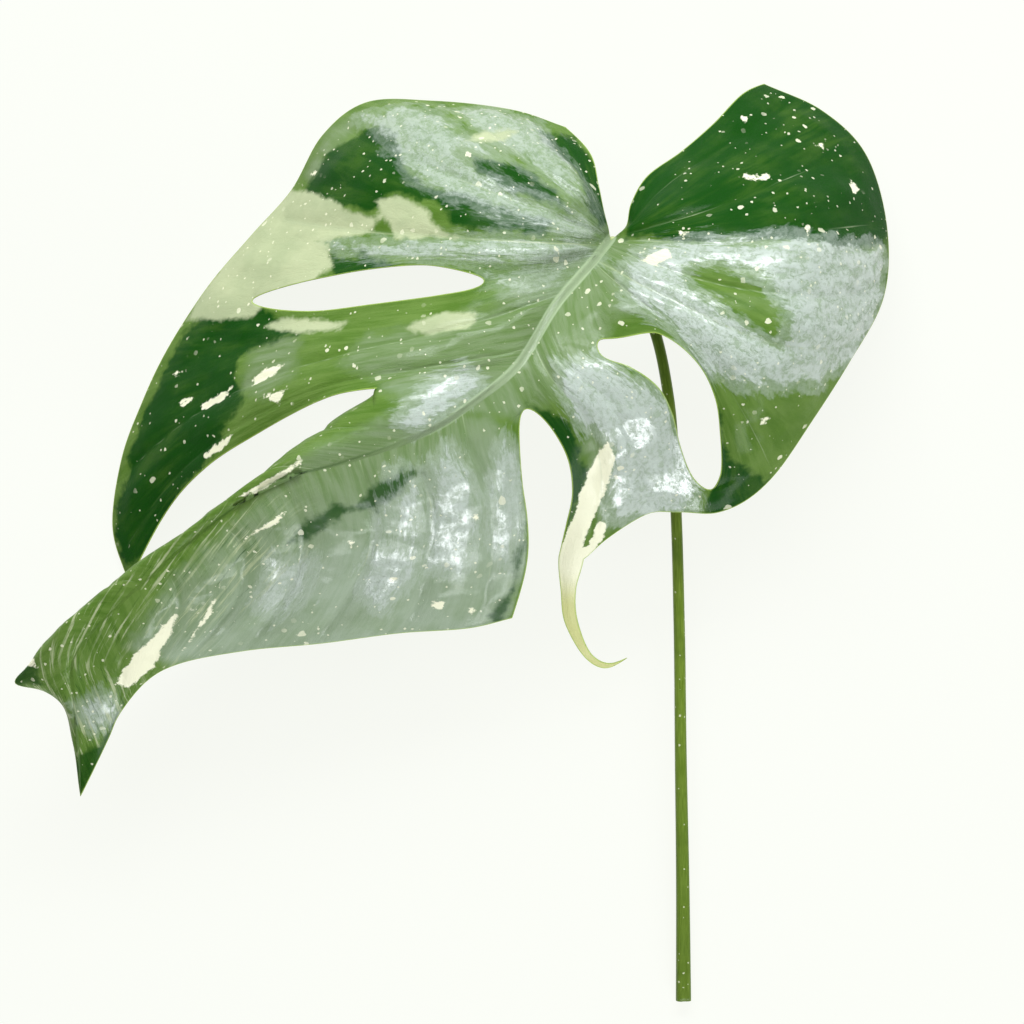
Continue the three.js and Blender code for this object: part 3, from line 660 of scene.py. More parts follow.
def zip_strip(sheet, roots, crest, crest_points, flipped):
    """Joins the roots of one side to the midrib's crest with triangles."""
    facts = np.zeros((len(roots) + len(crest), len(Sheet.FACTS)))
    facts[:, VEIN] = FAR_FROM_VEIN
    first = sheet.add(np.array([point for s, point in roots] + list(crest_points)), facts)
    i = j = 0
    faces = []
    while i + 1 < len(roots) or j + 1 < len(crest):
        step_root = j + 1 >= len(crest) or (i + 1 < len(roots) and roots[i + 1][0] <= crest[j + 1])
        a = first + i
        b = first + len(roots) + j
        c = a + 1 if step_root else b + 1
        faces.append((b, a, c, c) if not flipped else (a, b, c, c))
        if step_root:
            i += 1
        else:
            j += 1
    sheet.faces.append(np.array(faces))


def blade_sheet(settings):
    """The blade's middle surface as (points, facts, faces)."""
    sheet = Sheet()
    near = [Rib(*rib) for rib in NEAR_RIBS]
    far = [Rib(*rib) for rib in FAR_RIBS]
    step = settings.facet * 1000 / 120
    row_step = settings.facet * 1000
    near_roots, near_panels, near_facts = add_side(sheet, near, NEAR_VEINS, step, row_step, True)
    add_tail(sheet, near, near_panels, near_facts, step)
    far_roots, far_panels, _ = add_side(sheet, far, FAR_VEINS, step, row_step, False)
    for block in sheet.facts[-len(far_panels):]:
        block[..., RIB] += FAR_RIBS_FROM
        block[..., GRAIN] += FAR_GRAIN_FROM
    add_midrib(sheet, near_roots, far_roots, row_step)
    return sheet.welded()


# ---- shaping the blade ---------------------------------------------------------------------------


def face_normals(points, faces):
    """The unit normal at each point."""
    normals = np.zeros_like(points)
    triangles = np.array(
        [face[:3] for face in faces] + [(face[0], face[2], face[3]) for face in faces if len(face) > 3]
    )
    a, b, c = (points[triangles[:, k]] for k in range(3))
    cross = np.cross(b - a, c - a)
    for k in range(3):
        np.add.at(normals, triangles[:, k], cross)
    return normals / np.maximum(np.linalg.norm(normals, axis=1), 1e-12)[:, None]


def open_loops(faces):
    """Edges with a face on one side only, as {from: to}."""
    edges = set()
    for face in faces:
        for k, start in enumerate(face):
            end = face[(k + 1) % len(face)]
            if (end, start) in edges:
                edges.remove((end, start))
            else:
                edges.add((start, end))
    return dict(edges)


def distance_to(points, targets, block=4000):
    """Distance from each point to the nearest target."""
    result = np.empty(len(points))
    for i in range(0, len(points), block):
        part = points[i:i + block]
        square = (part**2).sum(1)[:, None] + (targets**2).sum(1)[None] - 2 * part @ targets.T
        result[i:i + block] = np.sqrt(np.maximum(square.min(axis=1), 0))
    return result


def smooth_noise(points, size, seed):
    """Smooth seeded waves over the points, about -1 to 1, with bumps of about that size in mm."""
    rng = np.random.default_rng(seed)
    total = np.zeros(len(points))
    for _ in range(10):
        direction = rng.normal(size=3)
        direction /= np.linalg.norm(direction)
        total += np.sin(points @ direction * (2 * math.pi / size) * rng.uniform(0.6, 1.5)
                        + rng.uniform(0, 2 * math.pi))
    return total / 3.2


def patch_depth(points, patches):
    """How far inside the nearest patch each point is, in mm: negative outside."""
    best = np.full(len(points), -40.0)
    x, y = points[:, 0], points[:, 1]
    for patch in patches:
        distance = np.full(len(points), 1e9)
        inside = np.zeros(len(points), bool)
        for k, (ax, ay) in enumerate(patch):
            bx, by = patch[(k + 1) % len(patch)]
            dx, dy = bx - ax, by - ay
            t = np.clip(((x - ax) * dx + (y - ay) * dy) / (dx * dx + dy * dy), 0, 1)
            distance = np.minimum(distance, np.hypot(x - ax - t * dx, y - ay - t * dy))
            if ay != by:
                crosses = ((ay > y) != (by > y)) & (x < ax + (y - ay) * dx / dy)
                inside ^= crosses
        best = np.maximum(best, np.where(inside, distance, -distance))
    return best


def patch_strength(points, patches, strengths):
    """The strength of the patch that each point is in or near."""
    total = np.zeros(len(points))
    weights = np.full(len(points), 1e-12)
    for patch, strength in zip(patches, strengths):
        weight = np.exp(np.clip(patch_depth(points, (patch,)), -40, 6) / 3)
        total += weight * strength
        weights += weight
    return total / weights


def build_blade_mesh(settings):
    """Gives the sheet its veins, puckers, thickness and rounded margin: (points, faces, values)."""
    points, facts, faces = blade_sheet(settings)
    rib, w, out, grain, vein, lift = facts.T
    shifted = points + np.array(FRAME_SHIFT)
    normals = face_normals(points, faces)
    edge_of = open_loops(faces)
    rim = np.array(sorted(edge_of))
    edge = distance_to(points, points[rim])
    midrib_line = midrib_at(np.linspace(0, MIDRIB_LENGTH, 400))
    from_midrib = distance_to(points, midrib_line)
    along = np.linspace(0, 1, 400)[
        np.concatenate([
            ((points[i:i + 4000, None] - midrib_line[None]) ** 2).sum(-1).argmin(axis=1)
            for i in range(0, len(points), 4000)
        ])
    ]
    taper = 1 - along
    inner = ease(edge, 1, 14)
    fade = ease(from_midrib, 2, 16) * inner

    groove = np.exp(-(vein / 1.3) ** 2) * ease(edge, 0, 12) * ease(from_midrib, 0.5, 6)
    ripple = (smooth_noise(points, 17, 3) * 0.35 + smooth_noise(points, 8, 4) * 0.10
              + smooth_noise(points, 4.6, 5) * 0.05)
    sheet_lift = settings.pucker * 1000 * lift * fade + ripple * fade
    sheet_lift -= settings.vein_relief * 1000 * groove
    channel = np.exp(-(from_midrib / (0.8 + 2.2 * taper)) ** 2)
    sheet_lift -= 0.5 * channel * (0.4 + taper)

    half = settings.thickness * 1000 / 2 * (0.62 + 0.38 * ease(edge, 0, 3))
    below = half + settings.midrib_depth * 1000 * taper * np.exp(-(from_midrib / 2.0) ** 2) \
        + 0.45 * groove
    upper = shifted + normals * (half + sheet_lift)[:, None]
    lower = shifted + normals * (sheet_lift - below)[:, None]

    count = len(points)
    lips = 3
    order = {int(v): k for k, v in enumerate(rim)}
    ahead = points[np.array([edge_of[int(v)] for v in rim])]
    came_from = {end: start for start, end in edge_of.items()}
    behind = points[np.array([came_from[int(v)] for v in rim])]
    outward = np.cross(ahead - behind, normals[rim])
    outward /= np.maximum(np.linalg.norm(outward, axis=1), 1e-9)[:, None]
    centre = shifted[rim] + normals[rim] * sheet_lift[rim][:, None]
    rings = []
    for k in range(1, lips + 1):
        angle = math.pi / 2 - math.pi * k / (lips + 1)
        rings.append(centre + (normals[rim] * math.sin(angle) + outward * math.cos(angle) * 0.8)
                     * half[rim][:, None])
    all_points = np.concatenate([upper, lower] + rings)

    def ring_index(level, v):
        if level == 0:
            return v
        if level == lips + 1:
            return v + count
        return 2 * count + (level - 1) * len(rim) + order[v]

    all_faces = [tuple(face) for face in faces]
    all_faces += [tuple(corner + count for corner in reversed(face)) for face in faces]
    for start, end in edge_of.items():
        for level in range(lips + 1):
            all_faces.append((
                ring_index(level, end), ring_index(level, start),
                ring_index(level + 1, start), ring_index(level + 1, end),
            ))

    is_far = rib > FAR_RIBS_FROM - 1
    is_last = (rib > NEAR_LAST_LOBE) & (rib < FAR_RIBS_FROM) | (rib > FAR_RIBS_FROM + FAR_LAST_LOBE)
    tail = w > 1
    cream = patch_depth(shifted, CREAM_PATCHES)
    cream[tail] = np.maximum(cream[tail], 20 * ease(w[tail], 1.0, 1.06) - 4)
    shades = {
        "leaf_cream": cream,
        "leaf_wash": patch_depth(shifted, WASH_PATCHES),
        "leaf_sage_and_sheen": patch_depth(shifted, SAGE_AND_SHEEN_PATCHES),
        "leaf_painted_sheen": np.minimum(patch_depth(shifted, PAINTED_SHEEN_PATCHES),
                                 -patch_depth(shifted, BARE_PATCHES)),
        "leaf_painted_sheen_strength": patch_strength(shifted, PAINTED_SHEEN_PATCHES, PAINTED_SHEEN_STRENGTHS),
        "leaf_deep_and_shade": patch_depth(shifted, DEEP_AND_SHADE_PATCHES),
        "leaf_tail": np.clip((w - 1) / TAIL_SPAN, 0, 1),
        "leaf_last": is_last * 1.0,
        "leaf_vein": np.minimum(vein, 30),
        "leaf_midrib": from_midrib,
        "leaf_beside": np.where(is_far, -from_midrib, from_midrib),
        "leaf_taper": taper,
        "leaf_edge": edge,
        "leaf_out": out,
        "leaf_grain": grain,
        "leaf_under": np.zeros(count),
    }
    values = {}
    for name, value in shades.items():
        under = np.ones(count) if name == "leaf_under" else value
        rims = [np.full(len(rim), (k + 1) / (lips + 1)) if name == "leaf_under" else value[rim]
                for k in range(lips)]
        values[name] = np.concatenate([value, under] + rims)
    return all_points * MM, all_faces, values


def new_piece(name, points, faces, material, values=None):
    mesh = bpy.data.meshes.new(name)
    mesh.from_pydata([tuple(p) for p in points], [], faces)
    mesh.validate()
    mesh.shade_smooth()
    for key, value in (values or {}).items():
        attribute = mesh.attributes.new(key, "FLOAT", "POINT")
        attribute.data.foreach_set("value", np.asarray(value, np.float32))
    mesh.materials.append(material)
    piece = bpy.data.objects.new(name, mesh)
    bpy.context.collection.objects.link(piece)
    return piece


# ---- shader tools --------------------------------------------------------------------------------


class Nodes:
    """Short calls for adding linked nodes to a node tree."""

    def __init__(self, tree):
        self.tree = tree

    def add(self, kind, inputs=None, **settings):
        node = self.tree.nodes.new(kind)
        for key, value in settings.items():
            setattr(node, key, value)
        for key, value in (inputs or {}).items():
            self.put(node.inputs[key], value)
        return node

    def put(self, socket, value):
        if isinstance(value, bpy.types.NodeSocket):
            self.tree.links.new(value, socket)
        else:
            socket.default_value = value

    def attribute(self, name):
        return self.add("ShaderNodeAttribute", attribute_name=name).outputs["Fac"]

    def math(self, operation, a, b=None, c=None):
        node = self.add("ShaderNodeMath", operation=operation)
        for k, value in enumerate((a, b, c)):
            if value is not None:
                self.put(node.inputs[k], value)
        return node.outputs[0]

    def step(self, value, low, high):
        """0 below low, 1 above high and smooth between."""
        node = self.add("ShaderNodeMapRange", {"Value": value, "From Min": low, "From Max": high},
                        interpolation_type="SMOOTHSTEP")
        return node.outputs["Result"]

    def span(self, value, low, high, to_low, to_high):
        node = self.add("ShaderNodeMapRange", {
            "Value": value, "From Min": low, "From Max": high, "To Min": to_low, "To Max": to_high,
        })
        return node.outputs["Result"]

    def mix(self, factor, a, b):
        node = self.add("ShaderNodeMix", data_type="RGBA")
        self.put(node.inputs["Factor"], factor)
        for key, value in ((6, a), (7, b)):
            self.put(node.inputs[key], value)
        return node.outputs[2]

    def noise(self, vector, scale, detail=2.0, roughness=0.5, distortion=0.0):
        node = self.add("ShaderNodeTexNoise", {
            "Vector": vector, "Scale": scale, "Detail": detail, "Roughness": roughness,
            "Distortion": distortion,
        })
        return node.outputs["Fac"]

    def grain(self, out, across, per_out, per_across):
        """A position that runs along the veins, so that noise on it is drawn out along them."""
        return self.add("ShaderNodeCombineXYZ", {
            "X": self.math("MULTIPLY", out, per_out), "Y": self.math("MULTIPLY", across, per_across),
        }).outputs[0]


def new_group(name, inputs, outputs):
    """A shader node group with named sockets. Each is (name, type, default)."""
    group = bpy.data.node_groups.new(name, "ShaderNodeTree")
    for socket_name, kind, default in inputs:
        socket = group.interface.new_socket(socket_name, in_out="INPUT", socket_type=kind)
        if default is not None:
            socket.default_value = default
    for socket_name, kind in outputs:
        group.interface.new_socket(socket_name, in_out="OUTPUT", socket_type=kind)
    nodes = Nodes(group)
    return group, nodes, nodes.add("NodeGroupInput").outputs, nodes.add("NodeGroupOutput").inputs


FLOAT, VECTOR = "NodeSocketFloat", "NodeSocketVector"


def patch_edge_group():
    """Turns a depth inside a patch into a mask with the ragged, cell-sharp edge of variegation; it also
    shapes the painted sheen and painted shade.
    """
    group, n, i, o = new_group(
        "Variegation Edge",
        [("Depth", FLOAT, 0.0), ("Position", VECTOR, None), ("Scale", FLOAT, 300.0),
         ("Raggedness", FLOAT, 4.0), ("Softness", FLOAT, 0.4)],
        [("Mask", FLOAT)],
    )
    coarse = n.noise(i["Position"], i["Scale"], 3.0, 0.6, 0.4)
    fine = n.noise(i["Position"], n.math("MULTIPLY", i["Scale"], 5.0), 2.0, 0.6)
    ragged = n.math("ADD", n.math("SUBTRACT", coarse, 0.5),
                    n.math("MULTIPLY", n.math("SUBTRACT", fine, 0.5), 0.35))
    value = n.math("MULTIPLY_ADD", ragged, i["Raggedness"], i["Depth"])
    n.put(o["Mask"], n.step(value, n.math("MULTIPLY", i["Softness"], -1.0), i["Softness"]))
    return group


def speckle_group():
    """Small scattered flecks of uneven size, from 0 to 1."""
    group, n, i, o = new_group(
        "Speckles",
        [("Position", VECTOR, None), ("Scale", FLOAT, 150.0), ("Share", FLOAT, 0.3),
         ("Size", FLOAT, 0.25)],
        [("Mask", FLOAT)],
    )
    warp = n.add("ShaderNodeTexNoise", {
        "Vector": i["Position"], "Scale": n.math("MULTIPLY", i["Scale"], 1.6), "Detail": 2.0,
    }).outputs["Color"]
    centred = n.add("ShaderNodeVectorMath", operation="SUBTRACT")
    n.put(centred.inputs[0], warp)
    centred.inputs[1].default_value = (0.5, 0.5, 0.5)
    shift = n.add("ShaderNodeVectorMath", operation="SCALE")
    n.put(shift.inputs[0], centred.outputs[0])
    n.put(shift.inputs["Scale"], n.math("DIVIDE", 0.55, i["Scale"]))
    moved = n.add("ShaderNodeVectorMath", operation="ADD")
    n.put(moved.inputs[0], i["Position"])
    n.put(moved.inputs[1], shift.outputs[0])
    cells = n.add("ShaderNodeTexVoronoi", {"Vector": moved.outputs[0], "Scale": i["Scale"]})
    dice = n.add("ShaderNodeSeparateColor", {"Color": cells.outputs["Color"]})
    chosen = n.math("LESS_THAN", dice.outputs[0], i["Share"])
    radius = n.math("MULTIPLY", n.math("MULTIPLY_ADD", dice.outputs[1], 0.8, 0.2), i["Size"])
    inside = n.step(n.math("SUBTRACT", radius, cells.outputs["Distance"]), 0.0, 0.03)
    n.put(o["Mask"], n.math("MULTIPLY", inside, chosen))
    return group


def wax_relief_group():
    """Height of the fine wrinkles and pores of a waxy leaf surface."""
    group, n, i, o = new_group(
        "Waxy Relief",
        [("Position", VECTOR, None), ("Grain", VECTOR, None), ("Wrinkle", FLOAT, 1.0),
         ("Pores", FLOAT, 0.3)],
        [("Height", FLOAT), ("Roughness", FLOAT)],
    )
    wrinkle = n.noise(i["Grain"], 1.0, 5.0, 0.62, 0.6)
    crinkle = n.noise(i["Position"], 900.0, 4.0, 0.65, 0.8)
    pores = n.noise(i["Position"], 5200.0, 1.0, 0.5)
    height = n.math("MULTIPLY_ADD", wrinkle, 0.9, n.math("MULTIPLY", crinkle, 0.6))
    height = n.math("MULTIPLY_ADD", pores, i["Pores"], n.math("MULTIPLY", height, i["Wrinkle"]))
    n.put(o["Height"], height)
    n.put(o["Roughness"], n.span(n.noise(i["Position"], 60.0, 3.0), 0.3, 0.7, -0.05, 0.07))
    return group


def use_group(nodes, group, **inputs):
    node = nodes.add("ShaderNodeGroup", node_tree=group)
    for key, value in inputs.items():
        nodes.put(node.inputs[key], value)
    return node.outputs


def new_material(name):
    material = bpy.data.materials.new(name)
    material.use_nodes = True
    material.node_tree.nodes.clear()
    nodes = Nodes(material.node_tree)
    surface = nodes.add("ShaderNodeBsdfPrincipled")
    output = nodes.add("ShaderNodeOutputMaterial")
    material.node_tree.links.new(surface.outputs[0], output.inputs["Surface"])
    return material, nodes, surface


def rgba(colour):
    return (colour[0], colour[1], colour[2], 1.0)


def blade_material(colours):
    """Waxy green blade with cream patches, flecks, pale veins and a pale margin, and with painted sheen,
    painted highlight lines and painted shade in its colour.
    """
    material, n, surface = new_material("Variegated Leaf Blade")
    place = n.add("ShaderNodeTexCoord").outputs["Object"]
    out = n.attribute("leaf_out")
    grain = n.attribute("leaf_grain")
    fine_grain = n.grain(out, grain, 0.16, 0.55)
    streak_grain = n.grain(out, grain, 0.035, 0.30)
    patch_edge = patch_edge_group()
    speckles = speckle_group()
    under = n.attribute("leaf_under")
    vein = n.attribute("leaf_vein")
    from_midrib = n.attribute("leaf_midrib")
    taper = n.attribute("leaf_taper")
    edge = n.attribute("leaf_edge")

    def mask(name, scale, raggedness, softness):
        return use_group(n, patch_edge, Depth=n.attribute(name), Position=place, Scale=scale,
                         Raggedness=raggedness, Softness=softness)["Mask"]

    streaks = n.step(n.noise(streak_grain, 1.0, 4.0, 0.6, 0.3), 0.36, 0.66)
    clouds = n.step(n.noise(place, 38.0, 4.0, 0.6), 0.35, 0.68)
    green = n.mix(n.math("MULTIPLY", streaks, 0.45), rgba(colours.green), rgba(colours.light_green))
    green = n.mix(n.math("MULTIPLY", clouds, 0.25), green, rgba(colours.light_green))
    # Grey green patches: partly the blade's own sage variegation, partly painted sheen.
    sage_and_sheen = mask("leaf_sage_and_sheen", 60.0, 10.0, 4.0)
    sage_and_sheen_colour = n.mix(n.math("MULTIPLY", streaks, 0.6), rgba(colours.sage_and_sheen), rgba(colours.green))
    green = n.mix(n.math("MULTIPLY", sage_and_sheen, 0.85), green, sage_and_sheen_colour)
    last = n.attribute("leaf_last")
    # Painted sheen: a pale haze of the sheen colour painted over the sage of the last lobes.
    painted_sheen_haze = n.math("MULTIPLY", n.math("MULTIPLY", sage_and_sheen, last), n.step(from_midrib, -6.0, 50.0))
    painted_sheen_haze = n.math("MULTIPLY", painted_sheen_haze, n.math("MULTIPLY_ADD", clouds, 0.16, 0.28))
    green = n.mix(painted_sheen_haze, green, rgba(colours.painted_sheen))
    # Darkest green patches: partly the blade's own deep green, partly painted shade.
    deep_and_shade = mask("leaf_deep_and_shade", 60.0, 10.0, 1.6)
    olive = n.mix(n.math("MULTIPLY", streaks, 0.35), rgba(colours.deep_and_shade_green), rgba(colours.green))
    deep_and_shade_colour = n.mix(clouds, rgba(colours.deep_and_shade_green), olive)
    green = n.mix(n.math("MULTIPLY", deep_and_shade, n.span(last, 0.0, 1.0, 0.98, 0.85)), green, deep_and_shade_colour)

    # Painted sheen: pale silvery patches painted into the colour where the blade reflects the lights,
    # broken up by crinkles; they also carry the coat.
    painted_sheen = 0.0
    for reach, share in ((3.0, 0.35), (-1.5, 0.65)):
        tier = use_group(n, patch_edge, Depth=n.math("ADD", n.attribute("leaf_painted_sheen"), reach),
                         Position=fine_grain, Scale=0.45, Raggedness=14.0, Softness=1.4)["Mask"]
        painted_sheen = n.math("MULTIPLY_ADD", tier, share, painted_sheen)
    flakes = n.noise(fine_grain, 0.8, 5.0, 0.66, 0.35)
    sparkle = n.noise(place, 380.0, 5.0, 0.75, 0.8)
    painted_sheen = n.math("MULTIPLY", painted_sheen, n.attribute("leaf_painted_sheen_strength"))
    crinkle = n.step(n.math("MULTIPLY_ADD", sparkle, 0.6, n.math("MULTIPLY", flakes, 0.4)), 0.40, 0.58)
    painted_sheen = n.math("MULTIPLY", painted_sheen, n.math("MULTIPLY_ADD", crinkle, 0.52, 0.50))
    green = n.mix(painted_sheen, green, rgba(colours.painted_sheen))

    wash = mask("leaf_wash", 75.0, 6.0, 1.3)
    wash_colour = n.mix(n.math("MULTIPLY", clouds, 0.3), rgba(colours.wash), rgba(colours.sage_and_sheen))
    green = n.mix(n.math("MULTIPLY", wash, 0.95), green, wash_colour)

    # Painted highlight and painted shade: thin pale and dark lines along the ridge of the last lobes
    # beside the midrib.
    run = n.span(taper, 1.0, 0.0, 0.0, MIDRIB_LENGTH)
    beside = n.math("MULTIPLY_ADD", run, -0.22, n.attribute("leaf_beside"))
    slope = n.math("MULTIPLY", n.step(taper, 0.56, 0.40),
                   n.math("MULTIPLY", last, n.step(from_midrib, 56.0, 16.0)))
    slope = n.math("MULTIPLY", slope, n.math("SUBTRACT", 1.0, deep_and_shade))
    slope = n.math("MULTIPLY", slope, n.span(n.step(n.noise(place, 55.0, 2.0), 0.42, 0.6), 0.0, 1.0,
                                             0.35, 1.0))
    lines = n.noise(n.grain(run, beside, 0.03, 0.55), 1.0, 4.0, 0.66, 0.15)
    painted_highlight_lines = n.math("MULTIPLY", n.step(lines, 0.53, 0.62), slope)
    painted_shade_lines = n.math("MULTIPLY", n.step(lines, 0.42, 0.35), slope)
    green = n.mix(n.math("MULTIPLY", painted_shade_lines, 0.7), green, rgba(colours.deep_and_shade_green))
    green = n.mix(n.math("MULTIPLY", painted_highlight_lines, 0.7), green, rgba(colours.wash))

    cream = mask("leaf_cream", 230.0, 3.4, 0.35)
    small = use_group(n, speckles, Position=place, Scale=230.0, Share=0.26, Size=0.32)["Mask"]
    tiny = use_group(n, speckles, Position=place, Scale=520.0, Share=0.14, Size=0.34)["Mask"]
    large = use_group(n, speckles, Position=place, Scale=110.0, Share=0.16, Size=0.22)["Mask"]
    clusters = n.step(n.noise(place, 28.0, 2.0), 0.42, 0.62)
    flecks = n.math("MAXIMUM", n.math("MULTIPLY", small, clusters),
                    n.math("MAXIMUM", n.math("MULTIPLY", tiny, 0.85), n.math("MULTIPLY", large, 0.8)))
    cream = n.math("MAXIMUM", cream, n.math("MULTIPLY", flecks, 0.72))
    # The tail turns from cream to a darker yellow green towards its end: partly its own colour, partly
    # painted shade.
    tail_tint_and_shade = n.step(n.attribute("leaf_tail"), 0.04, 0.34)
    colour = n.mix(cream, green, n.mix(tail_tint_and_shade, rgba(colours.cream), rgba(colours.tail)))

    vein_line = n.math("MULTIPLY", n.step(vein, 0.8, 0.1), n.step(edge, 2.0, 22.0))
    colour = n.mix(n.math("MULTIPLY", vein_line, 0.22), colour, rgba(colours.vein))
    vein_core = n.math("MULTIPLY", n.step(vein, 0.3, 0.05), n.step(edge, 4.0, 24.0))
    colour = n.mix(n.math("MULTIPLY", vein_core, 0.4), colour, rgba(colours.wash))
    rib_width = n.math("MULTIPLY_ADD", taper, 2.5, 0.2)
    from_crest = n.math("DIVIDE", from_midrib, rib_width)
    stout = n.step(taper, 0.58, 0.80)
    rib_line = n.math("MULTIPLY", n.step(from_crest, 1.0, 0.7), stout)
    rib_groove = n.math("MULTIPLY", n.step(from_crest, 0.42, 0.12), stout)
    colour = n.mix(n.math("MULTIPLY", rib_line, 0.85), colour, rgba(colours.vein))
    colour = n.mix(n.math("MULTIPLY", rib_groove, 0.35), colour, rgba(colours.sage_and_sheen))
    # Painted shade: darker green in the midrib's crease along the middle of its length.
    painted_crease_shade = n.math("MULTIPLY", n.step(from_midrib, 0.9, 0.2),
                    n.math("MULTIPLY", n.step(taper, 0.66, 0.56), n.step(taper, 0.30, 0.46)))
    colour = n.mix(n.math("MULTIPLY", painted_crease_shade, 0.4), colour, rgba(colours.deep_and_shade_green))
    margin = n.step(edge, 0.55, 0.05)
    colour = n.mix(n.math("MULTIPLY", margin, 0.75), colour, rgba(colours.margin))
    colour = n.mix(n.math("MULTIPLY", under, 0.4), colour, rgba(colours.underside))

    relief = use_group(n, wax_relief_group(), Position=place, Grain=fine_grain,
                       Wrinkle=n.math("MULTIPLY_ADD", painted_sheen, 0.9, 0.7), Pores=0.25)
    bump = n.add("ShaderNodeBump", {"Height": relief["Height"], "Strength": 0.8, "Distance": 0.0006})
    n.put(surface.inputs["Base Color"], colour)
    rough = n.math("ADD", relief["Roughness"], n.span(n.math("SUBTRACT", painted_sheen, under), 0.0, 1.0,
                                                      0.5, 0.24))
    n.put(surface.inputs["Roughness"], rough)
    n.put(surface.inputs["Normal"], bump.outputs["Normal"])
    surface.inputs["IOR"].default_value = 1.48
    surface.inputs["Specular IOR Level"].default_value = 0.06
    gloss = n.math("MULTIPLY", painted_sheen, n.math("MULTIPLY_ADD", crinkle, 0.75, 0.30))
    gloss = n.math("MAXIMUM", gloss, n.math("MULTIPLY_ADD", sage_and_sheen, 0.14, 0.07))
    n.put(surface.inputs["Coat Weight"],
          n.math("MULTIPLY", n.math("MINIMUM", gloss, 1.0), n.span(under, 0.0, 1.0, 1.0, 0.0)))
    surface.inputs["Coat Roughness"].default_value = 0.17
    return material


def stalk_material(colours):
    """Smooth green stalk, streaked along its length, darker towards its lower end and paler at the cut."""
    material, n, surface = new_material("Leaf Stalk")
    place = n.add("ShaderNodeTexCoord").outputs["Object"]
    along = n.attribute("stalk_along")
    around = n.attribute("stalk_around")
    cut = n.attribute("stalk_cut")
    grain = n.add("ShaderNodeCombineXYZ", {
        "X": n.math("MULTIPLY", along, 0.12), "Y": n.math("MULTIPLY", around, 2.4),
    }).outputs[0]
    streaks = n.noise(grain, 1.0, 4.0, 0.6)
    colour = n.mix(n.step(streaks, 0.35, 0.7), rgba(colours.stalk), rgba(colours.stalk_light))
    colour = n.mix(n.math("MULTIPLY", n.step(n.noise(place, 90.0, 3.0), 0.5, 0.75), 0.45), colour,
                   rgba(colours.stalk_dark))
    colour = n.mix(n.math("MULTIPLY", n.step(along, 150.0, 320.0), 0.45), colour,
                   rgba(colours.stalk_dark))
    tiny = use_group(n, bpy.data.node_groups["Speckles"], Position=place, Scale=500.0, Share=0.2,
                     Size=0.3)["Mask"]
    colour = n.mix(n.math("MULTIPLY", tiny, 0.5), colour, rgba(colours.cream))
    vessels = use_group(n, bpy.data.node_groups["Speckles"], Position=place, Scale=1400.0,
                        Share=0.7, Size=0.35)["Mask"]
    inside = n.mix(n.math("MULTIPLY", vessels, 0.6), rgba(colours.cut), rgba(colours.stalk_light))
    colour = n.mix(cut, colour, inside)
    relief = use_group(n, bpy.data.node_groups["Waxy Relief"], Position=place, Grain=grain,
                       Wrinkle=0.8, Pores=0.2)
    bump = n.add("ShaderNodeBump", {"Height": relief["Height"], "Strength": 0.4, "Distance": 0.0003})
    n.put(surface.inputs["Base Color"], colour)
    n.put(surface.inputs["Roughness"], n.math("ADD", relief["Roughness"], 0.42))
    n.put(surface.inputs["Normal"], bump.outputs["Normal"])
    surface.inputs["IOR"].default_value = 1.45
    surface.inputs["Specular IOR Level"].default_value = 0.3
    return material


# ---- the leaf stalk ------------------------------------------------------------------------------

JOINT_LENGTH = 26.0  # wrinkled joint below the blade, in mm
JOINT_RINGS = 80
STALK_SIDES = 48
STALK_STATIONS = (  # (x, y, z, radius) in mm from the blade to the cut
    (40.2, 109.6, 50.6, 2.0), (41.5, 107.6, 47.6, 2.5), (43.0, 105.3, 43.6, 3.0),
    (45.6, 101.6, 39.6, 3.1), (50.5, 92, 34.5, 2.6), (58, 76, 30, 2.3), (64.5, 48, 24.5, 2.25),
    (67.5, 10, 19.5, 2.3), (69.5, -45, 15, 2.35), (70.5, -105, 10.5, 2.5), (71.5, -155, 6.8, 2.8),
    (72, -205, 3.6, 3.2),
)


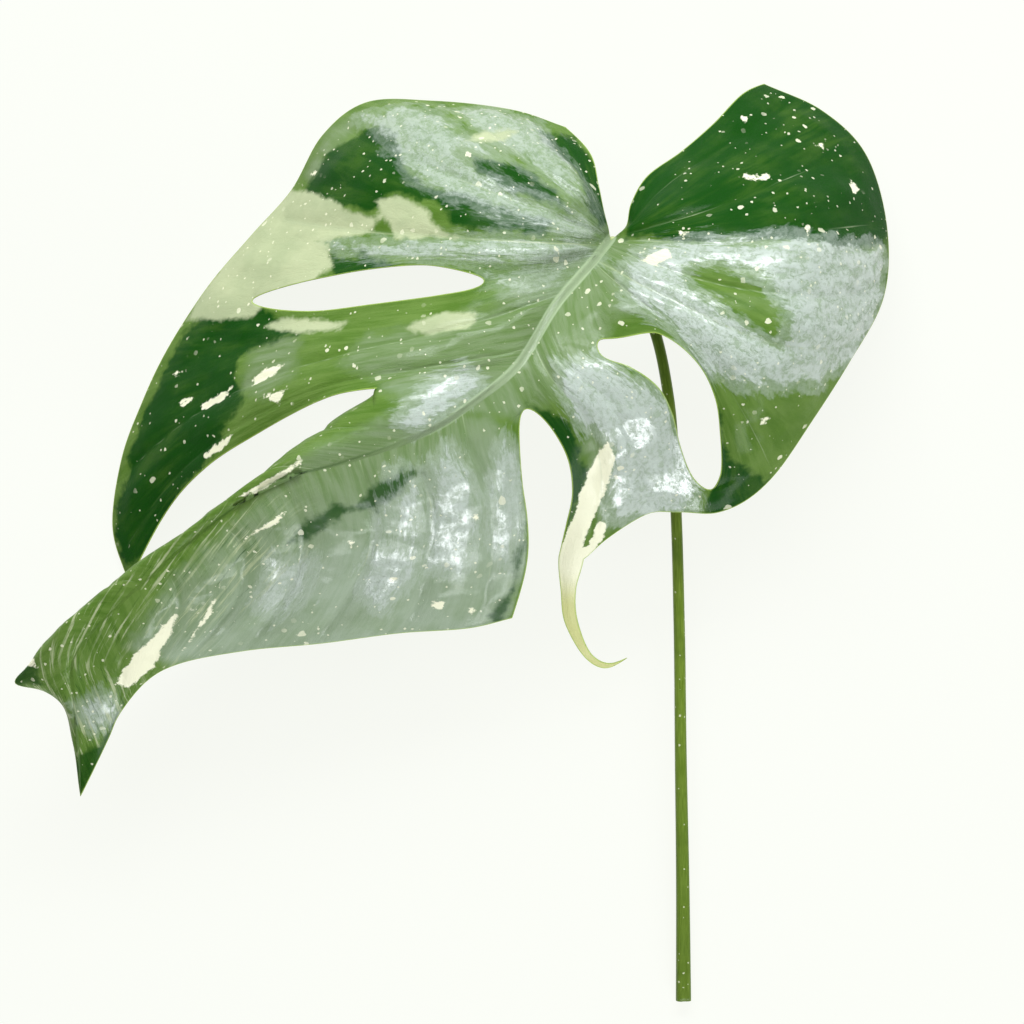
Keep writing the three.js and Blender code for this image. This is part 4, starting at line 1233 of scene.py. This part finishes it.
def build_stalk_mesh(settings):
    """A tube along the stations with a wrinkled joint, a groove and closed ends."""
    stations = np.array(STALK_STATIONS)
    knots = knots_along(stations[:, :3])
    length = knots[-1]
    path = curve_through(knots, stations)
    places = np.concatenate((np.linspace(0, JOINT_LENGTH, JOINT_RINGS, endpoint=False),
                             np.linspace(JOINT_LENGTH, length, settings.rings)))
    rings, sides = len(places) - 1, STALK_SIDES
    points, along_values, around_values, cut_values = [], [], [], []
    across = np.array((0.0, 0.0, 1.0))
    turns = np.linspace(0, 2 * math.pi, sides, endpoint=False)
    for at in places:
        x, y, z, radius = path(at)[0]
        ahead = (path(at + 0.4)[0] - path(at - 0.4)[0])[:3]
        ahead /= np.linalg.norm(ahead)
        across = across - ahead * across.dot(ahead)
        across /= np.linalg.norm(across)
        sideways = np.cross(ahead, across)
        open_ = ease(at / length, 0.62, 1.0)
        facing = np.maximum(0, np.cos(turns)) ** 6
        ribs = 0.012 * np.cos(turns * 11) * ease(at / length, 0.1, 0.4)
        wrinkle = 0.022 * math.sin(at * 4.1 + 1.3 * math.sin(at * 0.9)) * ease(at, JOINT_LENGTH, 8)
        r = radius * (1 - 0.34 * open_ * facing + ribs + wrinkle)
        ring_points = np.array((x, y, z)) + np.outer(r * np.cos(turns), across) \
            + np.outer(r * np.sin(turns), sideways)
        points.append(ring_points)
        along_values += [at] * sides
        around_values += list(np.abs(math.pi - turns) * radius)
        cut_values += [0.0] * sides
    faces = []
    for ring in range(rings):
        for k in range(sides):
            a, b = ring * sides + k, ring * sides + (k + 1) % sides
            faces.append((a, b, b + sides, a + sides))
    for end, centre_at in ((0, 0.0), (rings, length)):
        base = end * sides
        centre = path(centre_at)[0][:3]
        inner = centre + (points[end] - centre) * 0.9
        first = sum(len(block) for block in points)
        points.append(inner)
        points.append(centre[None])
        along_values += [centre_at] * (sides + 1)
        around_values += [0.0] * (sides + 1)
        cut_values += [1.0] * (sides + 1)
        for k in range(sides):
            following = (k + 1) % sides
            quad = (base + k, first + k, first + following, base + following)
            fan = (first + sides, first + following, first + k)
            faces.append(quad[::-1] if end else quad)
            faces.append(fan[::-1] if end else fan)
    moved = (np.concatenate(points) + np.array(FRAME_SHIFT)) * MM
    values = {"stalk_along": along_values, "stalk_around": around_values, "stalk_cut": cut_values}
    return moved, faces, values


# ---- settings ------------------------------------------------------------------------------------


def length_property(name, description, default, maximum):
    return bpy.props.FloatProperty(name=name, description=description, default=default, min=0.0,
                                   max=maximum, subtype="DISTANCE", unit="LENGTH", precision=5)


def colour_property(name, description, default):
    return bpy.props.FloatVectorProperty(name=name, description=description, default=default, size=3,
                                         min=0.0, max=1.0, subtype="COLOR")


class LeafBladeSettings(bpy.types.PropertyGroup):
    """Sizes of the blade."""

    facet: length_property("Facet", "Length of a facet of the blade", 0.00176, 0.01)
    thickness: length_property("Thickness", "Thickness of the blade between the veins", 0.0006, 0.002)
    midrib_depth: length_property("Midrib Depth", "How far the midrib stands out below", 0.0020, 0.005)
    vein_relief: length_property("Vein Relief", "Depth of the grooves over the side veins", 0.00045, 0.002)
    pucker: length_property("Pucker", "Height of the blade between two side veins", 0.0011, 0.004)


class LeafColourSettings(bpy.types.PropertyGroup):
    """Colours of the blade and the stalk."""

    green: colour_property("Green", "Usual green of the blade", (0.075, 0.160, 0.018))
    light_green: colour_property("Light Green", "Lighter streaks of the blade", (0.17, 0.27, 0.065))
    # Darkest green, also the painted shade of the dark patches, the midrib's crease and the dark lines by
    # the ridge.
    deep_and_shade_green: colour_property("Deep Green", "Darkest green of the blade", (0.002, 0.052, 0.0005))
    # Grey green of the sage patches, which are partly painted sheen.
    sage_and_sheen: colour_property("Sage", "Grey green patches", (0.20, 0.275, 0.14))
    # Colour of the painted sheen, the reflection of the lights painted into the blade.
    painted_sheen: colour_property("Frost", "Silvery patches", (0.50, 0.57, 0.51))
    wash: colour_property("Wash", "Pale half-green patches", (0.48, 0.53, 0.32))
    cream: colour_property("Cream", "Cream patches and flecks", (0.86, 0.85, 0.64))
    # Darker yellow green of the tail's end, partly painted shade.
    tail: colour_property("Tail", "Tip of the curled tail", (0.60, 0.61, 0.27))
    vein: colour_property("Vein", "Pale veins and midrib", (0.36, 0.46, 0.28))
    margin: colour_property("Margin", "Thin line along the margin", (0.36, 0.50, 0.10))
    underside: colour_property("Underside", "Tint of the lower face", (0.16, 0.25, 0.10))
    stalk: colour_property("Stalk", "Usual green of the stalk", (0.10, 0.165, 0.010))
    stalk_light: colour_property("Stalk Light", "Lighter streaks of the stalk", (0.17, 0.25, 0.03))
    stalk_dark: colour_property("Stalk Dark", "Darker mottling of the stalk", (0.045, 0.09, 0.006))
    cut: colour_property("Cut", "Moist cut end of the stalk", (0.55, 0.60, 0.32))


class LeafStalkSettings(bpy.types.PropertyGroup):
    """Detail of the stalk."""

    rings: bpy.props.IntProperty(name="Rings", description="Rings of facets below the joint",
                                 default=180, min=20, max=600)


class StudioSettings(bpy.types.PropertyGroup):
    """Floor, lights and camera."""

    floor: colour_property("Floor", "Colour of the floor", (0.97, 0.985, 0.93))
    glow: bpy.props.FloatProperty(name="Glow", description="How brightly the floor is lit from "
                                  "below, like a light table", default=0.90, min=0.0, max=1.0)
    back_power: bpy.props.FloatProperty(name="Back Power", description="Power of the soft light "
                                        "behind the leaf", default=18.0, min=0.0, unit="POWER")
    front_power: bpy.props.FloatProperty(name="Front Power", description="Power of the soft light "
                                         "in front", default=11.5, min=0.0, unit="POWER")
    fill_power: bpy.props.FloatProperty(name="Fill Power", description="Power of the large light "
                                        "overhead", default=14.0, min=0.0, unit="POWER")
    world: bpy.props.FloatProperty(name="World", description="Strength of the even light",
                                   default=0.30, min=0.0)
    lens: bpy.props.FloatProperty(name="Lens", description="Focal length of the camera in mm",
                                  default=100.2, min=10.0)
    height: length_property("Camera Height", "Height of the camera above the floor", 1.1996, 5.0)


# ---- operators -----------------------------------------------------------------------------------


def finish_piece(piece, node):
    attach(piece, "root")
    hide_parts(node)


class LEAF_OT_blade(bpy.types.Operator):
    """Builds the variegated blade with its midrib, veins, slits, holes and drip tip."""

    bl_idname = "leaf.build_blade"
    bl_label = "Build Blade"

    def execute(self, context):
        scene = context.scene
        points, faces, values = build_blade_mesh(scene.leaf_blade)
        piece = new_piece("Blade", points, faces, blade_material(scene.leaf_colours), values)
        finish_piece(piece, "leaf_blade")
        return {"FINISHED"}


class LEAF_OT_stalk(bpy.types.Operator):
    """Builds the leaf stalk with its swollen joint, groove and cut end."""

    bl_idname = "leaf.build_stalk"
    bl_label = "Build Stalk"

    def execute(self, context):
        scene = context.scene
        points, faces, values = build_stalk_mesh(scene.leaf_stalk)
        piece = new_piece("Stalk", points, faces, stalk_material(scene.leaf_colours), values)
        finish_piece(piece, "leaf_stalk")
        return {"FINISHED"}


def bearing(azimuth, elevation, distance):
    """A place seen from the leaf at azimuth degrees from +Y towards +X, and elevation degrees up."""
    a, e = math.radians(azimuth), math.radians(elevation)
    return (distance * math.sin(a) * math.cos(e), distance * math.cos(a) * math.cos(e),
            distance * math.sin(e))


def area_light(name, place, target, size, power, colour):
    light = bpy.data.lights.new(name, "AREA")
    light.shape = "RECTANGLE"
    light.size, light.size_y = size
    light.energy = power
    light.color = colour
    lamp = bpy.data.objects.new(name, light)
    lamp.location = place
    lamp.rotation_euler = (Vector(target) - Vector(place)).to_track_quat("-Z", "Y").to_euler()
    bpy.context.collection.objects.link(lamp)
    return lamp


class LEAF_OT_studio(bpy.types.Operator):
    """Adds the floor, the soft studio lights and the camera above the leaf."""

    bl_idname = "leaf.build_studio"
    bl_label = "Build Studio"

    def execute(self, context):
        scene = context.scene
        studio = scene.leaf_studio
        material, n, surface = new_material("Studio Floor")
        surface.inputs["Base Color"].default_value = rgba(
            [channel * FLOOR_ALBEDO for channel in studio.floor]
        )
        surface.inputs["Emission Color"].default_value = rgba(studio.floor)
        surface.inputs["Emission Strength"].default_value = studio.glow
        surface.inputs["Roughness"].default_value = 0.9
        surface.inputs["Specular IOR Level"].default_value = 0.0
        r = FLOOR_HALF
        corners = ((-r, -r, 0), (r, -r, 0), (r, r, 0), (-r, r, 0))
        floor = new_piece("Floor", corners, [(0, 1, 2, 3)], material)

        world = bpy.data.worlds.new("Studio")
        scene.world = world
        world.use_nodes = True
        background = world.node_tree.nodes["Background"]
        background.inputs["Color"].default_value = (0.98, 0.99, 0.96, 1.0)
        n = Nodes(world.node_tree)
        seen = n.add("ShaderNodeLightPath").outputs["Is Camera Ray"]
        n.put(background.inputs["Strength"], n.span(seen, 0.0, 1.0, studio.world, 0.98))
        area_light("Back", bearing(5, 40, 1.25), (0.02, 0.0, 0.07), (1.15, 0.34), studio.back_power,
                   (0.94, 0.98, 1.0))
        area_light("Front", bearing(158, 18, 1.2), (0, 0, 0.05), (0.9, 0.26), studio.front_power,
                   (0.94, 0.98, 1.0))
        area_light("Fill", bearing(-35, 62, 2.1), (0, 0, 0.05), (1.8, 1.8), studio.fill_power,
                   (1.0, 1.0, 1.0))

        lens = bpy.data.cameras.new("Camera")
        lens.lens = studio.lens
        lens.sensor_width = 36.0
        lens.clip_start = 0.01
        camera = bpy.data.objects.new("Camera", lens)
        camera.location = (FRAME_SHIFT[0] * MM, FRAME_SHIFT[1] * MM, studio.height)
        scene.collection.objects.link(camera)
        scene.camera = camera
        scene.view_settings.view_transform = "Standard"
        return {"FINISHED"}


class LEAF_PT_panel(bpy.types.Panel):
    """Buttons and settings of the leaf."""

    bl_label = "Variegated Leaf"
    bl_idname = "LEAF_PT_panel"
    bl_space_type = "VIEW_3D"
    bl_region_type = "UI"
    bl_category = "Leaf"

    def draw(self, context):
        scene = context.scene
        for operator, settings in (
            ("leaf.build_blade", scene.leaf_blade), ("leaf.build_stalk", scene.leaf_stalk),
            ("leaf.build_studio", scene.leaf_studio), (None, scene.leaf_colours),
        ):
            box = self.layout.box()
            if operator:
                box.operator(operator)
            for name in settings.__annotations__:
                box.prop(settings, name)


CLASSES = (
    LeafBladeSettings, LeafColourSettings, LeafStalkSettings, StudioSettings, LEAF_OT_blade,
    LEAF_OT_stalk, LEAF_OT_studio, LEAF_PT_panel,
)
SETTINGS = {
    "leaf_blade": LeafBladeSettings, "leaf_colours": LeafColourSettings,
    "leaf_stalk": LeafStalkSettings, "leaf_studio": StudioSettings,
}


def register():
    for item in CLASSES:
        bpy.utils.register_class(item)
    for name, kind in SETTINGS.items():
        setattr(bpy.types.Scene, name, bpy.props.PointerProperty(type=kind))


def unregister():
    for name in SETTINGS:
        delattr(bpy.types.Scene, name)
    for item in reversed(CLASSES):
        bpy.utils.unregister_class(item)


def main():
    register()
    bpy.ops.leaf.build_blade()
    bpy.ops.leaf.build_stalk()
    bpy.ops.leaf.build_studio()


if __name__ == "__main__":
    main()
